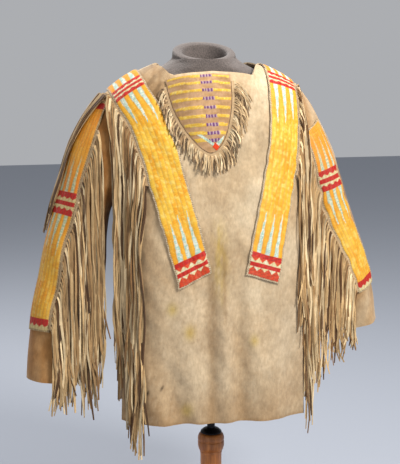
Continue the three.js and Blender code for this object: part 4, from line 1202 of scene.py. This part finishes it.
def sampled_cloth():
    """Points on the front hide, on both sleeves and on each strip, for the strands to rest on."""
    v = np.linspace(0, 0.999, 420)
    x = np.linspace(-1, 1, 260)[None, :]
    edge = np.where(x < 0, front_edge["right"](v)[:, None], front_edge["left"](v)[:, None])
    front = hide_point(FRONT, x * edge, v[:, None] + 0 * x)
    s, angle = np.meshgrid(np.linspace(0, 1, 260), np.linspace(0, 360, 260), indexing="ij")
    strips = {}
    for side, band in bands.items():
        across = np.linspace(-band.half_width, band.half_width, 30)
        along = np.linspace(0, band.length, 300)
        strips[side] = band.at(across, along, (LIFT + BAND + 0.8) * np.ones((300, 30)))
    return front, right_sleeve(s, angle), left_sleeve(s, angle), strips


def add_fringe(side, cloth, seed):
    """The long fringe beside a strip, in several layers of strands."""
    spec = FRINGES[side]
    band = bands[side]
    draw = np.random.default_rng(seed)
    ribbons = Ribbons()
    start, end = (share * band.length for share in spec["share"])
    points, _, leave, out = band.edge(spec["sign"], np.linspace(start, end, 70), BACKING_OUT, LIFT)
    add_backing(ribbons, points, leave, out, TAN)
    k_table, length_table = np.array(spec["lengths"]).T
    for n in range(spec["strands"]):
        k = (n + draw.uniform(0.1, 0.9)) / spec["strands"]
        at = np.array([lerp(start, end, k)])
        point, _, away, _ = (value[0] for value in band.edge(spec["sign"], at, ROOT_OUT, LIFT + ROOT_LIFT))
        length = np.interp(k, k_table, length_table) * draw.uniform(spec["shorter"], 1.06)
        width = draw.uniform(*spec["width"])
        clearance = 2.2 + 2.6 * (n % LAYERS)
        sway = draw.uniform(1.5, 4.5)
        path = hang(point, away, length, cloth, draw, clearance, sway, lerp(*spec["drift"], k))
        tint = strand_tint(draw) * spec["shade"]
        add_strand(ribbons, path, draw, width, draw.uniform(1.2, 1.7), tint)
    return stand_in(ribbons.build(side + "_strands", FRINGE_FINISH), side + "_fringe")


BIB_STRANDS, BIB_SECTIONS = 128, 12
BIB_LENGTHS = table(
    "turn length",
    (0, 28), (90, 36), (120, 44), (180, 50))
DROOP = np.array([0, 0, -0.3])   # how much a strand turns downwards at each section
BIB_REACH = 16               # no strand stands further forward of its root than this


def add_bib_fringe(cloth):
    """The bib's short fringe, which droops round its edge."""
    draw = np.random.default_rng(301)
    ribbons = Ribbons()

    def rim(turn):
        x, v = bib_place(*bib_edge(turn))
        ahead = over_shoulder(*bib_place(*bib_edge(turn + 2)))
        behind = over_shoulder(*bib_place(*bib_edge(turn - 2)))
        out = normal_at(over_shoulder, x, v, 1, 0.004)
        leave = unit(np.cross(unit(ahead - behind), out))
        return over_shoulder(x, v) + out * LIFT, leave, out

    points, leave, out = rim(np.linspace(5, 175, 80))
    add_backing(ribbons, points + leave * BACKING_OUT, leave, out, TAN)
    for n in range(BIB_STRANDS):
        turn = lerp(5, 175, (n + draw.uniform(0.1, 0.9)) / BIB_STRANDS)
        point, away, out_ = (value[0] for value in rim(np.array([turn])))
        length = np.interp(turn, *BIB_LENGTHS.values()) * draw.uniform(0.75, 1.15)
        step = length / (BIB_SECTIONS - 1)
        heading = unit(away + out_ * 0.35)
        curl = draw.normal(0, 0.06, 3)
        path = [point + away * 5.6 + out_ * 0.8]
        for _ in range(BIB_SECTIONS - 1):
            heading = unit(heading + DROOP + curl + 0.05 * draw.normal(size=3))
            path.append(path[-1] + heading * step)
        path = np.array(path)
        limit = cloth.front(path[:, 0], path[:, 2]) - 1.6 - 1.4 * (n % LAYERS)
        path[:, 1] = np.minimum(path[:, 1], np.where(np.arange(BIB_SECTIONS) > 1, limit, path[:, 1]))
        path[:, 1] = np.maximum(path[:, 1], point[1] - BIB_REACH)
        tint = mix(strand_tint(draw), CREAM, np.array(0.35))
        add_strand(ribbons, path, draw, draw.uniform(2.2, 3.6), 1.3, tint)
    return stand_in(ribbons.build("bib_strands", FRINGE_FINISH), "bib_fringe")


# The angle at the armhole, and the angle and the share of the sleeve at the loose end.
ARM_FRINGE = table(
    "k from to end",
    (0, -58, -42, 0.42), (0.5, -16, -14, 0.5), (1, 19, 13, 0.46))
ARM_ROOT, ARM_STRANDS = 0.015, 84


def add_arm_fringe():
    """The strands that lie along the outer back of the right sleeve."""
    draw = np.random.default_rng(311)
    ribbons = Ribbons()
    start, to, reach = columns(ARM_FRINGE, "k", "from", "to", "end")
    angle = start(np.linspace(0, 1, 40))
    root = ARM_ROOT + 0 * angle
    out = normal_at(right_sleeve, root, angle, 0.004, 1)
    along = unit(right_sleeve(root, angle + 2) - right_sleeve(root, angle - 2))
    add_backing(ribbons, right_sleeve(root, angle) + out * LIFT, unit(np.cross(along, out)), out, TAN)
    for n in range(ARM_STRANDS):
        k = (n + draw.uniform(0.2, 0.8)) / ARM_STRANDS
        end = reach(k) * draw.uniform(0.85, 1.12)
        s = np.linspace(ARM_ROOT, end, 20)
        run = (s - ARM_ROOT) / (reach(k) - ARM_ROOT)
        angle = lerp(start(k), to(k), run) + 2.2 * sway_along(run, draw, 4, 9) * run
        out = normal_at(right_sleeve, s, angle, 0.004, 1)
        over_strip = 3.4 * smoothstep(angle, -26, -12)   # the outermost strands lie over the strip's edge
        wave = 0.8 * sway_along(run, draw, 6, 14)
        lift = 3.4 + 1.5 * (n % LAYERS) + wave + over_strip
        path = right_sleeve(s, angle) + out * lift[:, None]
        forward = unit(np.gradient(path, axis=0))
        sideways = unit(np.cross(out, forward))
        # Darkened as painted shade, like the right sleeve's fringe.
        tint = strand_tint(draw) * 0.9
        half = draw.uniform(3.0, 4.6) / 2 * np.where(run > 0.9, 0.75, 1)
        twist = draw.normal(0, 0.25) * np.sin(run * 5)
        turned = sideways * np.cos(twist)[:, None] + out * np.sin(twist)[:, None]
        ribbons.add(path, turned, unit(np.cross(forward, turned)), half, 0.7, tint)
    return stand_in(ribbons.build("right_arm_strands", FRINGE_FINISH), "right_arm_fringe")


# ---- The dress form ----
FORM_SIDES, RING_STEPS = 96, 5
form_half, form_front, form_back = columns(FORM, "z", "half", "front", "back")


def shirt_depth(face, x, z):
    """How far the shirt's inside is from its seam line at height z."""
    share = (z - shoulder_z(np.abs(x)) + SHOULDER_DROP) / SHOULDER_DROP
    cap = np.where(share > 0, np.sqrt(np.maximum(0, 1 - share**2)) ** TURN_POWER[face], 1)
    return np.where(share >= 1, 0, hang_depth(face, x, z) * cap)


def form_ring(z, half, flared=False):
    """A ring of the form, inside the shirt. A flared one turns from the flat body towards the round neck."""
    k = smoothstep(z, FLARE["z"][0] - 7, FLARE["z"][-1]) if flared else 0
    clearance = FLARE_CLEARANCE if flared else FORM_CLEARANCE
    neck_depth = NECK_RADIUS * NECK_DEPTH
    turn = circle(FORM_SIDES)
    x = half * np.sin(turn)
    bare = (1 - smoothstep(np.abs(x), *BARE)) * flared
    depth = []
    for face, form_depth in ((FRONT, form_front(z)), (BACK, form_back(z))):
        full = lerp(form_depth, neck_depth, k) * np.abs(np.cos(turn))
        inside = np.maximum(0, shirt_depth(face, x, z) - HIDE - clearance)
        depth.append(face * np.maximum(np.minimum(full, inside), np.minimum(full, neck_depth) * bare))
    y = np.where(np.cos(turn) >= 0, depth[0], depth[1]) + lerp(SEAM_Y * 0.6, NECK_Y, k)
    return np.stack([x + lean(z), y, np.full(FORM_SIDES, float(z))], -1)


def body_ring(z):
    across = np.arange(0, 200, 0.5)
    outside = across[shoulder_z(across) - FORM_CLEARANCE <= z]
    reach = outside[0] if len(outside) else 200
    return form_ring(z, min(float(form_half(z)), reach - 1))


def neck_ring(radius, height):
    turn = circle(FORM_SIDES)
    y = -radius * NECK_DEPTH * np.cos(turn)
    tilt = np.tan(np.radians(NECK_TILT)) * y * smoothstep(height, -15, 0) if height > -15 else 0
    z = NECK_Z + height + tilt
    return np.stack([radius * np.sin(turn) + lean(z), y + NECK_Y, z + 0 * turn], -1)


def add_form():
    rings = [body_ring(z) for z in (352, 360, 400, 470, 545, 620, 690, 760, 830, 880, 920, 950, 972)]
    rings += [form_ring(z, half, True) for z, half in zip(*FLARE.values())]
    rim = (NECK_RADIUS + NECK_INNER) / 2
    for angle in np.radians((25, 60, 120, 175)):
        radius = rim + (NECK_RADIUS - NECK_INNER) / 2 * np.cos(angle)
        rings.append(neck_ring(radius, NECK_BEAD * np.sin(angle)))
    rings += [neck_ring(NECK_INNER - 2, 6 - NECK_CAVITY), neck_ring(NECK_INNER - 8, -NECK_CAVITY)]
    rings = np.array(rings)
    t = np.linspace(0, len(rings) - 1, (len(rings) - 1) * RING_STEPS + 1)
    i = np.clip(t.astype(int), 0, len(rings) - 2)
    slope = np.gradient(rings, axis=0)
    smooth = hermite((t - i)[:, None, None], rings[i], rings[i + 1], slope[i], slope[i + 1])
    for _ in range(5):
        depth = smooth[1:-1, :, 1]
        around = (np.roll(depth, 1, 1) + 2 * depth + np.roll(depth, -1, 1)) / 4
        smooth[1:-1, :, 1] = np.where(smooth[1:-1, :, 2] < NECK_Z, around, depth)
    index = np.arange(smooth.shape[0] * FORM_SIDES).reshape(-1, FORM_SIDES)
    faces = quads(wrap(index)).tolist() + [index[0][::-1].tolist(), index[-1].tolist()]
    stand_in(make_mesh("padded_form", smooth.reshape(-1, 3), faces, KNIT_FINISH), "dress_form")


# ---- The stand ----
def lathe(name, profile, material, segments=96, sharp=35):
    """A turned piece from a profile of (radius, height), with its corners lightly rounded."""
    corner = 0.9
    rounded = [profile[0]]
    for before, here, after in zip(profile, profile[1:], profile[2:]):
        here = np.array(here, float)
        if here[0] == 0:
            rounded.append(here)
            continue
        for other in (before, after):
            way = np.array(other, float) - here
            size = np.linalg.norm(way)
            rounded.append(here + way / size * min(corner, 0.3 * size))
    rounded.append(profile[-1])
    points, faces, rings = [], [], []
    for r, z in np.array(rounded, float):
        if r < 1e-6:
            rings.append([len(points)] * segments)
            points.append((0, 0, z))
        else:
            rings.append(list(range(len(points), len(points) + segments)))
            points += [(r * np.cos(a), r * np.sin(a), z) for a in circle(segments)]
    for low, high in zip(rings, rings[1:]):
        for i in range(segments):
            j = (i + 1) % segments
            face = list(dict.fromkeys([low[i], low[j], high[j], high[i]]))
            if len(face) > 2:
                faces.append(face)
    return make_mesh(name, np.array(points, float), faces, material, sharp=sharp)


# Radius and height of each corner, from the bottom up.
ROD = ((0, 236), (8.5, 236), (8.5, 262), (7.4, 264), (7.4, 340), (8.5, 342), (8.5, 351.5), (0, 351.5))
CAP = ((9.1, 234), (23, 234), (23, 237), (16.1, 243), (9.1, 245), (9.1, 234))
POST = ((0, 30), (31, 30), (31, 38), (27, 44), (24, 50), (23, 60), (22.4, 110), (23, 188), (24.4, 191.5),
        (22.6, 194), (26, 196), (28.5, 205), (28.5, 215), (27.3, 216), (27.3, 217.6), (28.5, 218.6),
        (28.5, 224), (26, 231), (22.5, 233), (0, 233))
FOOT = ((0, 0), (155, 0), (158, 3), (158, 20.5), (154, 25.5), (144, 29.5), (60, 29.5), (0, 29.5))


def add_stand():
    stand_in(lathe("iron_rod", ROD, IRON_FINISH), "stand_rod")
    stand_in(lathe("round_cap", CAP, IRON_FINISH), "rod_cap")
    stand_in(lathe("turned_post", POST, WOOD_FINISH), "stand_post")
    stand_in(lathe("round_foot", FOOT, WOOD_FINISH, 128), "stand_foot")


# ---- The room ----
LIGHTS = (                   # name, place, size, power and colour
    ("key", (1.5, -2.3, 2.7), 1.1, 142, (1.0, 0.975, 0.94)),
    ("fill", (-2.4, -2.0, 1.6), 1.8, 18, (1.0, 0.98, 0.96)),
    ("top", (0.2, 0.6, 3.0), 1.4, 54, (1.0, 0.98, 0.96)),
    ("rim", (-1.6, 1.8, 1.9), 1.0, 30, (1.0, 0.98, 0.95)),
)
LIT_PLACE = (0, 0, 0.7)      # where every light points


def add_room():
    bpy.ops.mesh.primitive_plane_add(size=14, location=(0, 0, 0))
    floor = bpy.context.object
    floor.name = "floor"
    floor.data.materials.append(Finish("floor", (0.60, 0.62, 0.66), 0.9).material)
    world = bpy.data.worlds.new("room")
    bpy.context.scene.world = world
    world.use_nodes = True
    background = world.node_tree.nodes["Background"]
    background.inputs["Color"].default_value = (0.86, 0.88, 0.92, 1)
    background.inputs["Strength"].default_value = 0.48
    for name, place, size, power, colour in LIGHTS:
        data = bpy.data.lights.new(name, "AREA")
        data.shape = "DISK"
        data.size = size
        data.energy = power
        data.color = colour
        light = bpy.data.objects.new(name, data)
        bpy.context.scene.collection.objects.link(light)
        light.location = place
        light.rotation_euler = (Vector(LIT_PLACE) - Vector(place)).to_track_quat("-Z", "Y").to_euler()
    bpy.context.scene.view_settings.view_transform = "Standard"


# ---- The object ----
hides = add_hides()
strips = add_strips()
bib = add_bib()
front_cloth, right_cloth, left_cloth, strip_cloth = sampled_cloth()
right_map = Cloth(front_cloth, right_cloth, strip_cloth["right_shoulder"], strip_cloth["right_sleeve"])
left_map = Cloth(front_cloth, left_cloth, strip_cloth["left_shoulder"], strip_cloth["left_sleeve"])
chest_map = Cloth(front_cloth, strip_cloth["right_shoulder"], strip_cloth["left_shoulder"])
fringes = {
    "right_sleeve": add_fringe("right_sleeve", right_map, 201),
    "left_sleeve": add_fringe("left_sleeve", left_map, 202),
    "right_shoulder": add_fringe("right_shoulder", right_map, 203),
    "left_shoulder": add_fringe("left_shoulder", left_map, 204),
    "bib": add_bib_fringe(chest_map),
    "right_arm": add_arm_fringe(),
}
add_form()
add_stand()
add_room()
